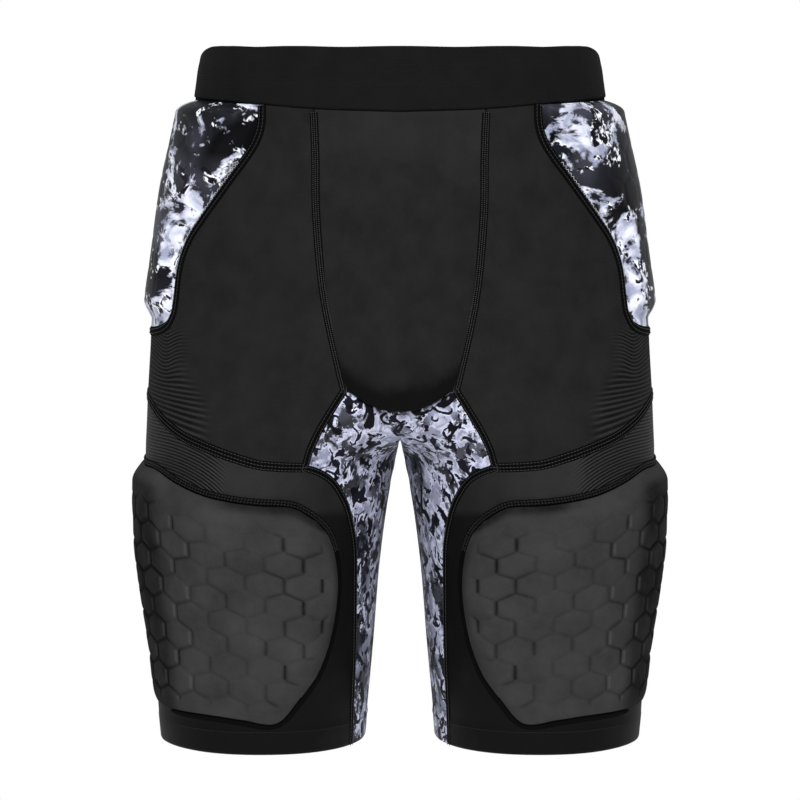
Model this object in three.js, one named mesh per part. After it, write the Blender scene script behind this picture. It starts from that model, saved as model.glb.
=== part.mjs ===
import * as THREE from 'three';
import { mergeVertices } from 'three/addons/utils/BufferGeometryUtils.js';

// Padded compression shorts as worn: the front faces -Y, the wearer's left is +X,
// and the waistband's top edge lies at z = 0 with the origin at its centre. Millimetres.

// Driving sizes
const totalLength = 470;
const rise = 272;
const waistWidth = 266;
const waistDepth = 202;
const hipWidth = 342;
const hipFront = 108;
const hipBack = 132;
const hemOuterReach = 162;
const hemDepth = 145;
const legGap = 48;
const roundness = 2.2;
const crotchRounding = 34;

const bandHeightFront = 42;
const bandHeightSide = 35;
const bandWall = 2.4;
const clothWall = 1.8;
const hemWall = 3.2;
const hemTurnUp = 18;

const hipPadThickness = 8.5;
const hipPadToeShare = 0.7;
const hipPadInset = 9;
const hipPadTopInset = 1;
const hipPadShoulder = 7;
const foamEdgeGap = 1.2;
const foamLeastWall = 1;

const thighPadThickness = 9.5;
const thighPadLow = 3.6;
const thighPadBevel = 8;
const thighPadEdge = 1.6;

const seamWidth = 5.5;
const bindingWidth = 6.2;
const seamThickness = 0.9;
const clearance = 0.75;
const padClearance = 0.8;
const panelGap = 0.9;
const sideSeamTurn = 97;

// Body sections, top to bottom, as shares of the sizes of the place that each row is `at`.
// Level 0 is the waist edge, 1 the crotch and 2 the hem; a negative inner edge lies past the middle.
const waist = { outer: waistWidth / 2, inner: waistWidth / 2, front: waistDepth / 2, back: waistDepth / 2 };
const hips = { outer: hipWidth / 2, inner: hipWidth / 2, front: hipFront, back: hipBack };
const thigh = { outer: hipWidth / 2, inner: legGap / 2, front: hipFront, back: hipBack };
const hem = { outer: hemOuterReach, inner: legGap / 2, front: hemDepth / 2, back: hemDepth / 2 };
const sections = [
  { at: waist, level: 0.0, outer: 1, inner: -1, front: 0.99, back: 1.01 },
  { at: waist, level: 0.14, outer: 1.04, inner: -1.04, front: 1, back: 1.05 },
  { at: waist, level: 0.21, outer: 1.07, inner: -1.07, front: 1, back: 1.09 },
  { at: hips, level: 0.41, outer: 0.91, inner: -0.91, front: 0.98, back: 0.94 },
  { at: hips, level: 0.62, outer: 0.974, inner: -0.97, front: 1, back: 1 },
  { at: hips, level: 0.76, outer: 0.99, inner: -0.75, front: 1, back: 0.98 },
  { at: hips, level: 0.86, outer: 1, inner: -0.456, front: 0.96, back: 0.925 },
  { at: hips, level: 0.93, outer: 1.005, inner: -0.21, front: 0.925, back: 0.855 },
  { at: thigh, level: 1.0, outer: 1.01, inner: 0, front: 0.89, back: 0.795 },
  { at: thigh, level: 1.15, outer: 1.01, inner: 0.3, front: 0.86, back: 0.73 },
  { at: hem, level: 1.4, outer: 1.04, inner: 0.58, front: 1.165, back: 1.21 },
  { at: hem, level: 1.67, outer: 1.02, inner: 0.76, front: 1.08, back: 1.11 },
  { at: hem, level: 1.88, outer: 1.012, inner: 0.92, front: 1.03, back: 1.04 },
  { at: hem, level: 2.0, outer: 1, inner: 1, front: 1, back: 1.01 },
];

// Seams that run down: across 0 is the middle or the inner leg, 1 the side
const flySeam = [
  { level: 0.146, across: 0.403 },
  { level: 0.27, across: 0.373 },
  { level: 0.38, across: 0.353 },
  { level: 0.56, across: 0.307 },
  { level: 0.68, across: 0.265 },
  { level: 0.815, across: 0.212 },
];
const gussetSeam = [
  { level: 0.815, across: 0.212 },
  { level: 0.87, across: 0.265 },
  { level: 0.916, across: 0.307 },
  { level: 0.964, across: 0.341 },
  { level: 1.01, across: 0.36 },
];
const gussetBackSeam = [
  { level: 0.78, across: 0 },
  { level: 0.84, across: 0.1 },
  { level: 0.9, across: 0.2 },
  { level: 0.96, across: 0.29 },
  { level: 1.01, across: 0.36 },
];
const innerLegSeam = [
  { level: 1.01, across: 0.36 },
  { level: 1.023, across: 0.309 },
  { level: 1.05, across: 0.252 },
  { level: 1.093, across: 0.207 },
  { level: 1.19, across: 0.152 },
  { level: 1.325, across: 0.113 },
  { level: 1.66, across: 0.086 },
  { level: 2.0, across: 0.067 },
];
const hipSeam = [
  { level: 0.13, across: 0.65 },
  { level: 0.19, across: 0.64 },
  { level: 0.237, across: 0.659 },
  { level: 0.326, across: 0.747 },
  { level: 0.416, across: 0.832 },
  { level: 0.466, across: 0.872 },
  { level: 0.53, across: 0.893 },
  { level: 0.64, across: 0.892 },
  { level: 0.672, across: 0.91 },
];
const thighPadInnerEdge = [
  { level: 1.19, across: 0.29 },
  { level: 1.26, across: 0.236 },
  { level: 1.36, across: 0.197 },
  { level: 1.47, across: 0.182 },
  { level: 1.61, across: 0.203 },
  { level: 1.725, across: 0.251 },
  { level: 1.8, across: 0.315 },
];

// Seams that run round: turn 0 is the front of the leg, 90 the side, 180 its back
const flyBottom = [
  { share: 0, level: 0.868 },
  { share: 0.27, level: 0.864 },
  { share: 0.54, level: 0.852 },
  { share: 0.78, level: 0.835 },
  { share: 1, level: 0.815 },
];
const bandBottom = [
  { turn: 0, reach: 0 },
  { turn: 22, reach: 0.25 },
  { turn: 40, reach: 0.62 },
  { turn: 77, reach: 1 },
  { turn: 110, reach: 1 },
  { turn: 180, reach: 0.8 },
];
const hipPanelBottom = [
  { turn: 63, level: 0.672 },
  { turn: 69, level: 0.69 },
  { turn: 79, level: 0.701 },
  { turn: 90, level: 0.705 },
];
const legSeam = [
  { turn: -15, level: 1.01 },
  { turn: 0, level: 1.003 },
  { turn: 15, level: 0.982 },
  { turn: 30, level: 0.96 },
  { turn: 44, level: 0.939 },
  { turn: 60, level: 0.906 },
  { turn: 76, level: 0.872 },
  { turn: 95, level: 0.858 },
  { turn: 125, level: 0.885 },
  { turn: 160, level: 0.955 },
  { turn: 195, level: 1.01 },
];
const thighPadTop = [
  { turn: -22, level: 1.19 },
  { turn: -12, level: 1.147 },
  { turn: 1, level: 1.138 },
  { turn: 14, level: 1.126 },
  { turn: 26, level: 1.11 },
  { turn: 43, level: 1.068 },
  { turn: 58, level: 1.035 },
  { turn: 75, level: 1.022 },
  { turn: 105, level: 1.03 },
  { turn: 122, level: 1.09 },
];
const thighPadBottom = [
  { turn: -19, level: 1.8 },
  { turn: -10, level: 1.875 },
  { turn: -4, level: 1.89 },
  { turn: 7, level: 1.875 },
  { turn: 27, level: 1.863 },
  { turn: 60, level: 1.864 },
  { turn: 105, level: 1.86 },
  { turn: 122, level: 1.8 },
];
const thighPadBackTurn = 122;

// Smooth reading of a table between its rows
function read(table, key, column, at) {
  const last = table.length - 1;
  let i = 0;
  while (i < last - 1 && at > table[i + 1][key]) i += 1;
  const slope = (j) => {
    const a = table[Math.max(0, j - 1)];
    const b = table[Math.min(last, j + 1)];
    return (b[column] - a[column]) / (b[key] - a[key]);
  };
  const from = table[i];
  const to = table[i + 1];
  const span = to[key] - from[key];
  const u = Math.min(1, Math.max(0, (at - from[key]) / span));
  const keep = 2 * u ** 3 - 3 * u ** 2;
  const bend = slope(i) * (u ** 3 - 2 * u ** 2 + u) + slope(i + 1) * (u ** 3 - u ** 2);
  return from[column] * (1 + keep) - to[column] * keep + span * bend;
}

// Level to height and back
const zOf = (level) => (level <= 1 ? -level * rise : -rise - (level - 1) * (totalLength - rise));
const levelOf = (z) => (-z <= rise ? -z / rise : 1 + (-z - rise) / (totalLength - rise));
const stations = sections.map(({ at, level, outer, inner, front, back }) => ({
  drop: -zOf(level),
  outer: outer * at.outer,
  inner: inner * at.inner,
  front: front * at.front,
  back: back * at.back,
}));

const degree = Math.PI / 180;
const power = (value, exponent) => Math.sign(value) * Math.abs(value) ** exponent;

function sectionAt(z) {
  const get = (column) => read(stations, 'drop', column, -z);
  const outer = get('outer');
  const inner = -z < rise ? Math.min(0, get('inner')) : Math.max(0, get('inner'));
  const middle = (outer + inner) / 2;
  return { outer, inner, middle, half: (outer - inner) / 2, front: get('front'), back: get('back') };
}

const fullness = (x, s) => Math.max(0, 1 - Math.abs((x - s.middle) / s.half) ** roundness) ** (1 / roundness);

// Share of the depth at x; over the crotch the crease between the two halves is rounded out
function depthShare(x, turn, s) {
  const radius = Math.min(crotchRounding, -0.8 * s.inner);
  if (Math.abs(x) >= radius) return Math.abs(Math.cos(turn * degree)) ** (2 / roundness);
  return fullness((x * x + radius * radius) / (2 * radius), s);
}

function pointAt(turn, z) {
  const s = sectionAt(z);
  const x = s.middle + s.half * power(Math.sin(turn * degree), 2 / roundness);
  const facing = Math.cos(turn * degree) >= 0 ? -s.front : s.back;
  return new THREE.Vector3(x, facing * depthShare(x, turn, s), z);
}

// Place and outward direction on the wearer's left half
function skin(turn, z) {
  const place = pointAt(turn, z);
  const turnStep = 1.5;
  const zStep = 1.5;
  const around = pointAt(turn + turnStep, z).sub(pointAt(turn - turnStep, z));
  const down = pointAt(turn, z - zStep).sub(pointAt(turn, z + zStep));
  const normal = down.cross(around).normalize();
  return { turn, place, normal };
}

// Turn at which x lies a share of the way from the middle or inner leg to the side
function turnAt(across, z) {
  const s = sectionAt(z);
  const low = Math.max(0, s.inner);
  const x = low + across * (s.outer - low);
  const share = Math.min(1, Math.max(-1, (x - s.middle) / s.half));
  return Math.asin(power(share, roundness / 2)) / degree;
}
const seamTurn = (table) => (z) => turnAt(read(table, 'level', 'across', levelOf(z)), z);
const middleTurn = (z) => turnAt(0, z);
const backOf = (turnOfZ) => (z) => 180 - turnOfZ(z);
const roundSeam = (table) => (turn) => zOf(read(table, 'turn', 'level', turn));
const mix = (a, b, t) => a + (b - a) * t;

const bandBottomZ = (turn) => -mix(bandHeightFront, bandHeightSide, read(bandBottom, 'turn', 'reach', turn));
const hipBottomZ = (turn) => roundSeam(hipPanelBottom)(turn <= 90 ? turn : 180 - turn);
const hipCorner = hipSeam[hipSeam.length - 1].level;
const tipLevel = legSeam[0].level;
const flyCorner = flySeam[flySeam.length - 1].level;
const backTop = gussetBackSeam[0].level;

// Rows that neighbouring panels share, so that their edges run side by side
const upperRows = [0, 0.045, 0.09, 0.15, 0.27, 0.41, 0.55, 0.69, 0.81, 0.9, 0.955, 1];
const tongueRows = [0, 0.33, 0.67, 1];
const legRows = [0, 0.013, 0.04, 0.084, 0.14, 0.22, 0.32, 0.46, 0.61, 0.76, 0.9, 0.92, 1];

const fixed = (value) => () => value;
const evenly = (count) => Array.from({ length: count + 1 }, (_, i) => i / count);

// Edges of a patch, read from 0 to 1: one runs down between two heights, one round between two turns
const downEdge = (turnOfZ, fromZ, toZ) => (v) => {
  const z = mix(fromZ, toZ, v);
  return { turn: turnOfZ(z), z };
};
const roundEdge = (zOfTurn, from, to) => (u) => {
  const turn = mix(from, to, u);
  return { turn, z: zOfTurn(turn) };
};

// A patch of skin stretched between its four edges
function patch({ left, right, top, bottom, across, down }) {
  return down.map((v) => {
    const columns = typeof across === 'function' ? across(v) : across;
    return columns.map((u) => {
      const blend = (key) => mix(left(v)[key], right(v)[key], u) + mix(top(u)[key], bottom(u)[key], v)
        - mix(mix(top(0)[key], top(1)[key], u), mix(bottom(0)[key], bottom(1)[key], u), v);
      const turn = blend('turn');
      const z = blend('z');
      return { z, u, v, ...skin(turn, z) };
    });
  });
}

// Sheets hold loose triangles of shared points; grids and their mirror images are joined in one
class Sheet {
  constructor() {
    this.points = [];
    this.faces = [];
    this.known = new Map();
  }

  point(p, mirror) {
    const place = p.place.clone();
    const normal = p.normal.clone();
    if (Math.abs(place.x) < 0.02) {
      place.x = 0;
      normal.x = 0;
      normal.normalize();
    }
    if (mirror) {
      place.x *= -1;
      normal.x *= -1;
    }
    const key = [place.x, place.y, place.z].map((c) => Math.round(c * 50)).join(' ');
    if (!this.known.has(key)) {
      this.known.set(key, this.points.length);
      this.points.push({ place, normal, lift: p.lift ?? 0, wall: p.wall ?? clothWall });
    }
    return this.known.get(key);
  }

  triangle(a, b, c) {
    if (a !== b && b !== c && a !== c) this.faces.push([a, b, c]);
  }

  add(grid, mirror = false) {
    const start = grid[1][1];
    const along = grid[1][2].place.clone().sub(start.place);
    const down = grid[2][1].place.clone().sub(start.place);
    const flipped = down.cross(along).dot(start.normal) < 0;
    for (let i = 0; i + 1 < grid.length; i += 1) {
      for (let j = 0; j + 1 < grid[i].length; j += 1) {
        const [a, b, c, d] = [grid[i][j], grid[i + 1][j], grid[i + 1][j + 1], grid[i][j + 1]]
          .map((p) => this.point(p, mirror));
        if (mirror !== flipped) {
          this.triangle(a, c, b);
          this.triangle(a, d, c);
        } else {
          this.triangle(a, b, c);
          this.triangle(a, c, d);
        }
      }
    }
    return this;
  }

  // Edges that only one face uses, each as [from, to] with the sheet on its left
  border() {
    const used = new Set();
    this.faces.forEach((f) => f.forEach((a, i) => used.add(`${a} ${f[(i + 1) % 3]}`)));
    return [...used].map((e) => e.split(' ').map(Number)).filter(([a, b]) => !used.has(`${b} ${a}`));
  }

  // Moves the border inwards along the sheet, so that neighbours keep a gap
  inset(distance) {
    const pulls = new Map();
    this.border().forEach(([a, b]) => {
      const edge = this.points[b].place.clone().sub(this.points[a].place).normalize();
      [a, b].forEach((i) => {
        const inward = this.points[i].normal.clone().cross(edge).normalize();
        pulls.set(i, [...(pulls.get(i) ?? []), inward]);
      });
    });
    pulls.forEach((list, i) => {
      const sum = list.reduce((total, pull) => total.add(pull), new THREE.Vector3());
      const mitre = Math.max(0.5, sum.lengthSq() / list.length);
      this.points[i].place.addScaledVector(sum, distance / mitre);
    });
    return this;
  }

  // Gives the sheet its wall, inwards from its lifted outer face
  solid() {
    const count = this.points.length;
    const outer = this.points.map((p) => p.place.clone().addScaledVector(p.normal, p.lift));
    const inner = this.points.map((p) => p.place.clone().addScaledVector(p.normal, p.lift - p.wall));
    const positions = [...outer, ...inner].flatMap((p) => [p.x, p.y, p.z]);
    const index = this.faces.flatMap(([a, b, c]) => [a, b, c, count + a, count + c, count + b]);
    this.border().forEach(([a, b]) => index.push(a, count + b, b, a, count + a, count + b));
    return outwardGeometry(positions, index);
  }
}

function outwardGeometry(positions, index) {
  const corner = (i) => new THREE.Vector3(...positions.slice(3 * i, 3 * i + 3));
  let volume = 0;
  for (let i = 0; i < index.length; i += 3) {
    volume += corner(index[i]).dot(corner(index[i + 1]).cross(corner(index[i + 2])));
  }
  if (volume < 0) {
    for (let i = 0; i < index.length; i += 3) [index[i + 1], index[i + 2]] = [index[i + 2], index[i + 1]];
  }
  const geometry = new THREE.BufferGeometry();
  geometry.setAttribute('position', new THREE.Float32BufferAttribute(positions, 3));
  geometry.setIndex(index);
  const merged = mergeVertices(geometry, 1e-4);
  merged.computeVertexNormals();
  return merged;
}

// Materials
const finish = (color, roughness) => new THREE.MeshStandardMaterial({ color, roughness, metalness: 0 });
const knitFinish = () => finish(0x1f1f20, 0.85);
const pouchFinish = () => finish(0x2a2a2b, 0.8);
const bandFinish = () => finish(0x1c1c1d, 0.9);
const printFinish = () => finish(0x6f7186, 0.45);
const padFinish = () => finish(0x404042, 0.8);
const foamFinish = () => finish(0x8a8a8e, 0.9);
const threadFinish = () => finish(0x101011, 0.7);

const shorts = new THREE.Group();
shorts.name = 'padded_shorts';

function place(name, geometry, material) {
  const mesh = new THREE.Mesh(geometry, material);
  mesh.name = name;
  shorts.add(mesh);
}

const sides = [
  { word: 'left', mirror: false },
  { word: 'right', mirror: true },
];

function eachSide(name, grids, material, gap = panelGap / 2) {
  sides.forEach(({ word, mirror }) => {
    const sheet = new Sheet();
    grids.forEach((grid) => sheet.add(grid, mirror));
    place(`${name}_${word}`, sheet.inset(gap).solid(), material());
  });
}

// Waistband
function waistband() {
  const grid = patch({
    left: downEdge(middleTurn, 0, bandBottomZ(0)),
    right: downEdge(backOf(middleTurn), 0, bandBottomZ(180)),
    top: roundEdge(fixed(0), 0, 180),
    bottom: roundEdge(bandBottomZ, 0, 180),
    across: evenly(24),
    down: [0, 0.5, 1],
  });
  grid.flat().forEach((p) => { p.wall = bandWall; });
  place('waistband', new Sheet().add(grid).add(grid, true).inset(panelGap / 2).solid(), bandFinish());
}

// Centre panel over the pouch
const flyCornerTurn = seamTurn(flySeam)(zOf(flyCorner));
const flyFootTurn = middleTurn(zOf(flyBottom[0].level));
const flyTopTurn = seamTurn(flySeam)(-bandHeightFront);

function flyBottomZ(turn) {
  const share = Math.min(1, Math.max(0, (turn - flyFootTurn) / (flyCornerTurn - flyFootTurn)));
  return zOf(read(flyBottom, 'share', 'level', share));
}

function centrePanel() {
  const topCorner = turnAt(flySeam[0].across, bandBottomZ(flyTopTurn));
  const grid = patch({
    left: downEdge(middleTurn, bandBottomZ(0), flyBottomZ(flyFootTurn)),
    right: downEdge(seamTurn(flySeam), bandBottomZ(flyTopTurn), zOf(flyCorner)),
    top: roundEdge(bandBottomZ, 0, topCorner),
    bottom: roundEdge(flyBottomZ, flyFootTurn, flyCornerTurn),
    across: evenly(3),
    down: upperRows,
  });
  place('centre_panel', new Sheet().add(grid).add(grid, true).inset(panelGap / 2).solid(), pouchFinish());
}

// Front and seat panels: an upper block beside the hip panel, a lower one below its corner
function frontInnerEdge(z) {
  return levelOf(z) <= flyCorner ? seamTurn(flySeam)(z) : seamTurn(gussetSeam)(z);
}

function seatInnerEdge(z) {
  return levelOf(z) <= backTop ? middleTurn(z) : seamTurn(gussetBackSeam)(z);
}

// The lower block's upper edge: level with the hip corner, then along the hip panel's bottom
const hipCornerTurn = seamTurn(hipSeam)(zOf(hipCorner));
const hipTopTurn = seamTurn(hipSeam)(-bandHeightSide);
const blockTopZ = (turn) => (turn <= hipCornerTurn ? zOf(hipCorner) : hipBottomZ(turn));

function bodyPanels(name, inner, kinkLevel, toBack, material) {
  const sideTurn = toBack ? 180 - sideSeamTurn : sideSeamTurn;
  const flip = (turn) => (toBack ? 180 - turn : turn);
  const wrap = (edge) => (z) => flip(edge(z));
  const cornerZ = zOf(hipCorner);
  const innerTurn = inner(cornerZ);
  const topFrom = toBack ? 0 : flyTopTurn;
  const shared = evenly(6);
  const upper = patch({
    left: downEdge(wrap(inner), bandBottomZ(flip(topFrom)), cornerZ),
    right: downEdge(wrap(seamTurn(hipSeam)), bandBottomZ(flip(hipTopTurn)), cornerZ),
    top: roundEdge(bandBottomZ, flip(topFrom), flip(hipTopTurn)),
    bottom: roundEdge(fixed(cornerZ), flip(innerTurn), flip(hipCornerTurn)),
    across: shared,
    down: upperRows,
  });
  const cornerShare = (hipCornerTurn - innerTurn) / (sideTurn - innerTurn);
  const kink = (kinkLevel - hipCorner) / (tipLevel - hipCorner);
  const lower = patch({
    left: downEdge(wrap(inner), cornerZ, zOf(tipLevel)),
    right: downEdge(fixed(flip(sideTurn)), hipBottomZ(flip(sideTurn)), roundSeam(legSeam)(flip(sideTurn))),
    top: roundEdge((turn) => blockTopZ(flip(turn)), flip(innerTurn), flip(sideTurn)),
    bottom: roundEdge(roundSeam(legSeam), flip(inner(zOf(tipLevel))), flip(sideTurn)),
    across: [...shared.map((u) => u * cornerShare), ...evenly(4).slice(1).map((u) => mix(cornerShare, 1, u))],
    down: [0, kink / 2, ...tongueRows.map((v) => mix(kink, 1, v))],
  });
  eachSide(name, [upper, lower], material);
}

// Hip panel over its pad
const roll = (t) => Math.sqrt(Math.max(0, 1 - (1 - Math.min(1, Math.max(0, t))) ** 2));

// Gives each point of a grid its distance from the grid's outline; the top edge may count as further off
function measureFromOutline(grid, beyondTop = 0) {
  const last = grid.length - 1;
  const down = (end) => grid.map((row) => (end ? row[row.length - 1] : row[0]));
  const runs = [grid[0], grid[last], down(0), down(1)].map((run) => run.map((p) => p.place));
  const nearest = new THREE.Vector3();
  grid.flat().forEach((p) => {
    p.inside = Math.min(...runs.flatMap((run, side) => run.slice(1).map((to, i) => {
      new THREE.Line3(run[i], to).closestPointToPoint(p.place, true, nearest);
      return nearest.distanceTo(p.place) + (side === 0 ? beyondTop : 0);
    })));
  });
}

const hipLift = (v) => mix(hipPadThickness, hipPadThickness * hipPadToeShare, v);

// Columns set out from both edges by distance, with the rest spread evenly between them
function columnsFromEdges(stops, between, width) {
  const near = stops.map((stop) => stop / width);
  const low = near[near.length - 1];
  const inside = evenly(between).slice(1, -1).map((u) => mix(low, 1 - low, u));
  return [...near, ...inside, ...near.map((u) => 1 - u).reverse()];
}

function runLength(turnOfU, z) {
  const points = evenly(16).map((u) => skin(turnOfU(u), z).place);
  return points.slice(1).reduce((sum, p, i) => sum + p.distanceTo(points[i]), 0);
}

function hipGrid() {
  const left = downEdge(seamTurn(hipSeam), bandBottomZ(hipTopTurn), zOf(hipCorner));
  const right = (v) => ({ turn: 180 - left(v).turn, z: left(v).z });
  return patch({
    left,
    right,
    top: roundEdge(bandBottomZ, hipTopTurn, 180 - hipTopTurn),
    bottom: roundEdge(hipBottomZ, hipCornerTurn, 180 - hipCornerTurn),
    across: (v) => {
      const width = runLength((u) => mix(left(v).turn, right(v).turn, u), left(v).z);
      const stops = [0, 1, 1.4, 2].map((share) => share * hipPadInset);
      return columnsFromEdges(stops, 6, width);
    },
    down: upperRows,
  });
}

function hipPanels() {
  const cover = hipGrid();
  measureFromOutline(cover, hipPadInset - hipPadTopInset);
  cover.flat().forEach((p) => { p.lift = roll((p.inside - hipPadInset) / hipPadShoulder) * hipLift(p.v); });
  eachSide('hip_panel', [cover], printFinish);

  // The foam is the same grid without its outer rings, held under the cover
  const foam = cover.slice(2, -2).map((row) => row.slice(2, -2).map((p) => ({ ...p })));
  foam.flat().forEach((p) => {
    const top = p.lift - clothWall - clearance;
    p.wall = Math.max(foamLeastWall, top + clothWall);
    p.lift = top;
  });
  eachSide('hip_pad', [foam], foamFinish, foamEdgeGap);
}

// Gusset: the pouch's foot, the crotch and both inner legs in one piece
function crotchTopZ(turn) {
  const frontTurn = turn < -90 ? -180 - turn : turn;
  let high = 0;
  let low = zOf(1);
  for (let pass = 0; pass < 40; pass += 1) {
    const half = (high + low) / 2;
    if (middleTurn(half) > frontTurn) high = half;
    else low = half;
  }
  return (high + low) / 2;
}

// Two blocks that meet level with the tips: the crotch above, the inner leg below
function gusset() {
  const inner = seamTurn(innerLegSeam);
  const tipZ = zOf(tipLevel);
  const tipTurn = inner(tipZ);
  const start = flyCornerTurn;
  const end = -180 - middleTurn(zOf(backTop));
  const foot = (flyFootTurn - start) / (end - start);
  const columns = [...evenly(3).map((u) => u * foot), ...evenly(8).slice(1).map((u) => mix(foot, 1, u))];
  const crotch = patch({
    left: downEdge(seamTurn(gussetSeam), zOf(flyCorner), tipZ),
    right: downEdge((z) => -180 - seamTurn(gussetBackSeam)(z), zOf(backTop), tipZ),
    top: roundEdge((turn) => (turn > flyFootTurn ? flyBottomZ(turn) : crotchTopZ(turn)), start, end),
    bottom: roundEdge(fixed(tipZ), tipTurn, -180 - tipTurn),
    across: columns,
    down: tongueRows,
  });
  const legs = patch({
    left: downEdge(inner, tipZ, zOf(2)),
    right: downEdge((z) => -180 - inner(z), tipZ, zOf(2)),
    top: roundEdge(fixed(tipZ), tipTurn, -180 - tipTurn),
    bottom: roundEdge(fixed(zOf(2)), inner(zOf(2)), -180 - inner(zOf(2))),
    across: columns,
    down: legRows,
  });
  legs.flat().forEach((p) => { p.wall = hemThickness(p.z); });
  const sheet = new Sheet();
  [crotch, legs].forEach((grid) => sheet.add(grid).add(grid, true));
  place('gusset', sheet.inset(panelGap / 2).solid(), printFinish());
}

// The cloth is doubled where the hem is turned up
function hemThickness(z) {
  return z < -totalLength + hemTurnUp ? hemWall : clothWall;
}

// Leg panels
function legPanels() {
  const inner = seamTurn(innerLegSeam);
  const tipTurn = inner(zOf(tipLevel));
  const grid = patch({
    left: downEdge(inner, zOf(tipLevel), zOf(2)),
    right: downEdge(backOf(inner), zOf(tipLevel), zOf(2)),
    top: roundEdge(roundSeam(legSeam), tipTurn, 180 - tipTurn),
    bottom: roundEdge(fixed(zOf(2)), inner(zOf(2)), 180 - inner(zOf(2))),
    across: evenly(19),
    down: legRows,
  });
  grid.flat().forEach((p) => { p.wall = hemThickness(p.z); });
  eachSide('leg_panel', [grid], knitFinish);
}

// Thigh pads: moulded foam with a bevelled rim, thick at the side and thin towards the hem
function thighPads() {
  const left = downEdge(seamTurn(thighPadInnerEdge), zOf(thighPadTop[0].level), zOf(thighPadBottom[0].level));
  const backTopLevel = thighPadTop[thighPadTop.length - 1].level;
  const backLowLevel = thighPadBottom[thighPadBottom.length - 1].level;
  const right = downEdge(fixed(thighPadBackTurn), zOf(backTopLevel), zOf(backLowLevel));
  const grid = patch({
    left,
    right,
    top: roundEdge(roundSeam(thighPadTop), left(0).turn, thighPadBackTurn),
    bottom: roundEdge(roundSeam(thighPadBottom), left(1).turn, thighPadBackTurn),
    across: (v) => {
      const width = runLength((u) => mix(left(v).turn, right(v).turn, u), left(v).z);
      return columnsFromEdges([0, thighPadBevel / 2, thighPadBevel], 12, width);
    },
    down: [0, 0.035, 0.07, 0.2, 0.35, 0.5, 0.65, 0.8, 0.93, 0.965, 1],
  });
  measureFromOutline(grid);
  grid.flat().forEach((p) => {
    const full = mix(thighPadThickness, thighPadLow, Math.min(1, p.v * 1.05));
    p.wall = Math.min(full, thighPadEdge + ((full - thighPadEdge) * p.inside) / thighPadBevel);
    p.lift = padClearance + p.wall;
  });
  eachSide('thigh_pad', [grid], padFinish, 0);
}

// Raised seams: narrow strips along a run of skin points
function seamStrip(run, width) {
  const count = run.length;
  const positions = [];
  const index = [];
  run.forEach((p, i) => {
    const before = run[Math.max(0, i - 1)].place;
    const after = run[Math.min(count - 1, i + 1)].place;
    const aside = after.clone().sub(before).cross(p.normal).normalize();
    const corners = [[-0.5, 0], [0.5, 0], [0.36, 1], [-0.36, 1]];
    corners.forEach(([sideShare, upShare]) => {
      const at = p.place.clone().addScaledVector(aside, sideShare * width);
      at.addScaledVector(p.normal, clearance + upShare * seamThickness);
      positions.push(at.x, at.y, at.z);
    });
  });
  for (let i = 0; i + 1 < count; i += 1) {
    for (let k = 0; k < 4; k += 1) {
      const a = 4 * i + k;
      const b = 4 * i + ((k + 1) % 4);
      index.push(a, b, b + 4, a, b + 4, a + 4);
    }
  }
  const end = 4 * (count - 1);
  index.push(0, 2, 1, 0, 3, 2, end, end + 1, end + 2, end, end + 2, end + 3);
  return outwardGeometry(positions, index);
}

function seams(name, run, width) {
  sides.forEach(({ word, mirror }) => {
    const flip = (v) => (mirror ? new THREE.Vector3(-v.x, v.y, v.z) : v.clone());
    const ownRun = run.map((p) => ({ place: flip(p.place), normal: flip(p.normal) }));
    place(`${name}_${word}`, seamStrip(ownRun, width), threadFinish());
  });
}

const alongDown = (edge, from, to, count) => evenly(count).map((t) => {
  const z = mix(zOf(from), zOf(to), t);
  return skin(edge(z), z);
});
const alongRound = (edge, from, to, count) => evenly(count).map((t) => {
  const turn = mix(from, to, t);
  return skin(turn, edge(turn));
});

function seamRuns() {
  const bandEnd = 0.165;
  const flyEnd = flyCorner - 0.02;
  seams('fly_seam', alongDown(seamTurn(flySeam), bandEnd, flyEnd, 11), seamWidth);

  const hipDown = [0.06, ...upperRows.slice(2)].map((v) => {
    const z = mix(bandBottomZ(hipTopTurn), zOf(hipCorner), v);
    return skin(seamTurn(hipSeam)(z), z);
  });
  const hipRound = alongRound(hipBottomZ, hipCornerTurn, 180 - hipCornerTurn, 8).slice(1, -1);
  const backOfRun = (p) => skin(180 - p.turn, p.place.z);
  seams('hip_binding', [...hipDown, ...hipRound, ...[...hipDown].reverse().map(backOfRun)], bindingWidth);

  const tipTurn = seamTurn(innerLegSeam)(zOf(tipLevel));
  seams('leg_seam', alongRound(roundSeam(legSeam), tipTurn + 8, 172 - tipTurn, 24), seamWidth);

  const strip = (edge, from, start) => [start, ...tongueRows.slice(1)].map((v) => {
    const z = mix(from, zOf(tipLevel), v);
    return skin(edge(z), z);
  });
  const lowerRows = [...legRows.slice(1, -1), 0.99].map((v) => zOf(mix(tipLevel, 2, v)));
  const inner = seamTurn(innerLegSeam);
  const frontRun = strip(seamTurn(gussetSeam), zOf(flyCorner), 0.1);
  const frontLower = lowerRows.map((z) => skin(inner(z), z));
  seams('inner_leg_seam', [...frontRun, ...frontLower], seamWidth);
  const backRun = strip(backOf(seamTurn(gussetBackSeam)), zOf(backTop), 0.12);
  const backLower = lowerRows.map((z) => skin(180 - inner(z), z));
  seams('back_leg_seam', [...backRun, ...backLower], seamWidth);
}

waistband();
centrePanel();
bodyPanels('front_panel', frontInnerEdge, flyCorner, false, knitFinish);
bodyPanels('seat_panel', seatInnerEdge, backTop, true, knitFinish);
hipPanels();
gusset();
legPanels();
thighPads();
seamRuns();

export default shorts;
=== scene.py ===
# Padded compression shorts in their worn form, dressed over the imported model.
# Tables and sizes are in millimetres, meshes in metres; the front faces -Y and the wearer's left is +X.
import math

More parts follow.
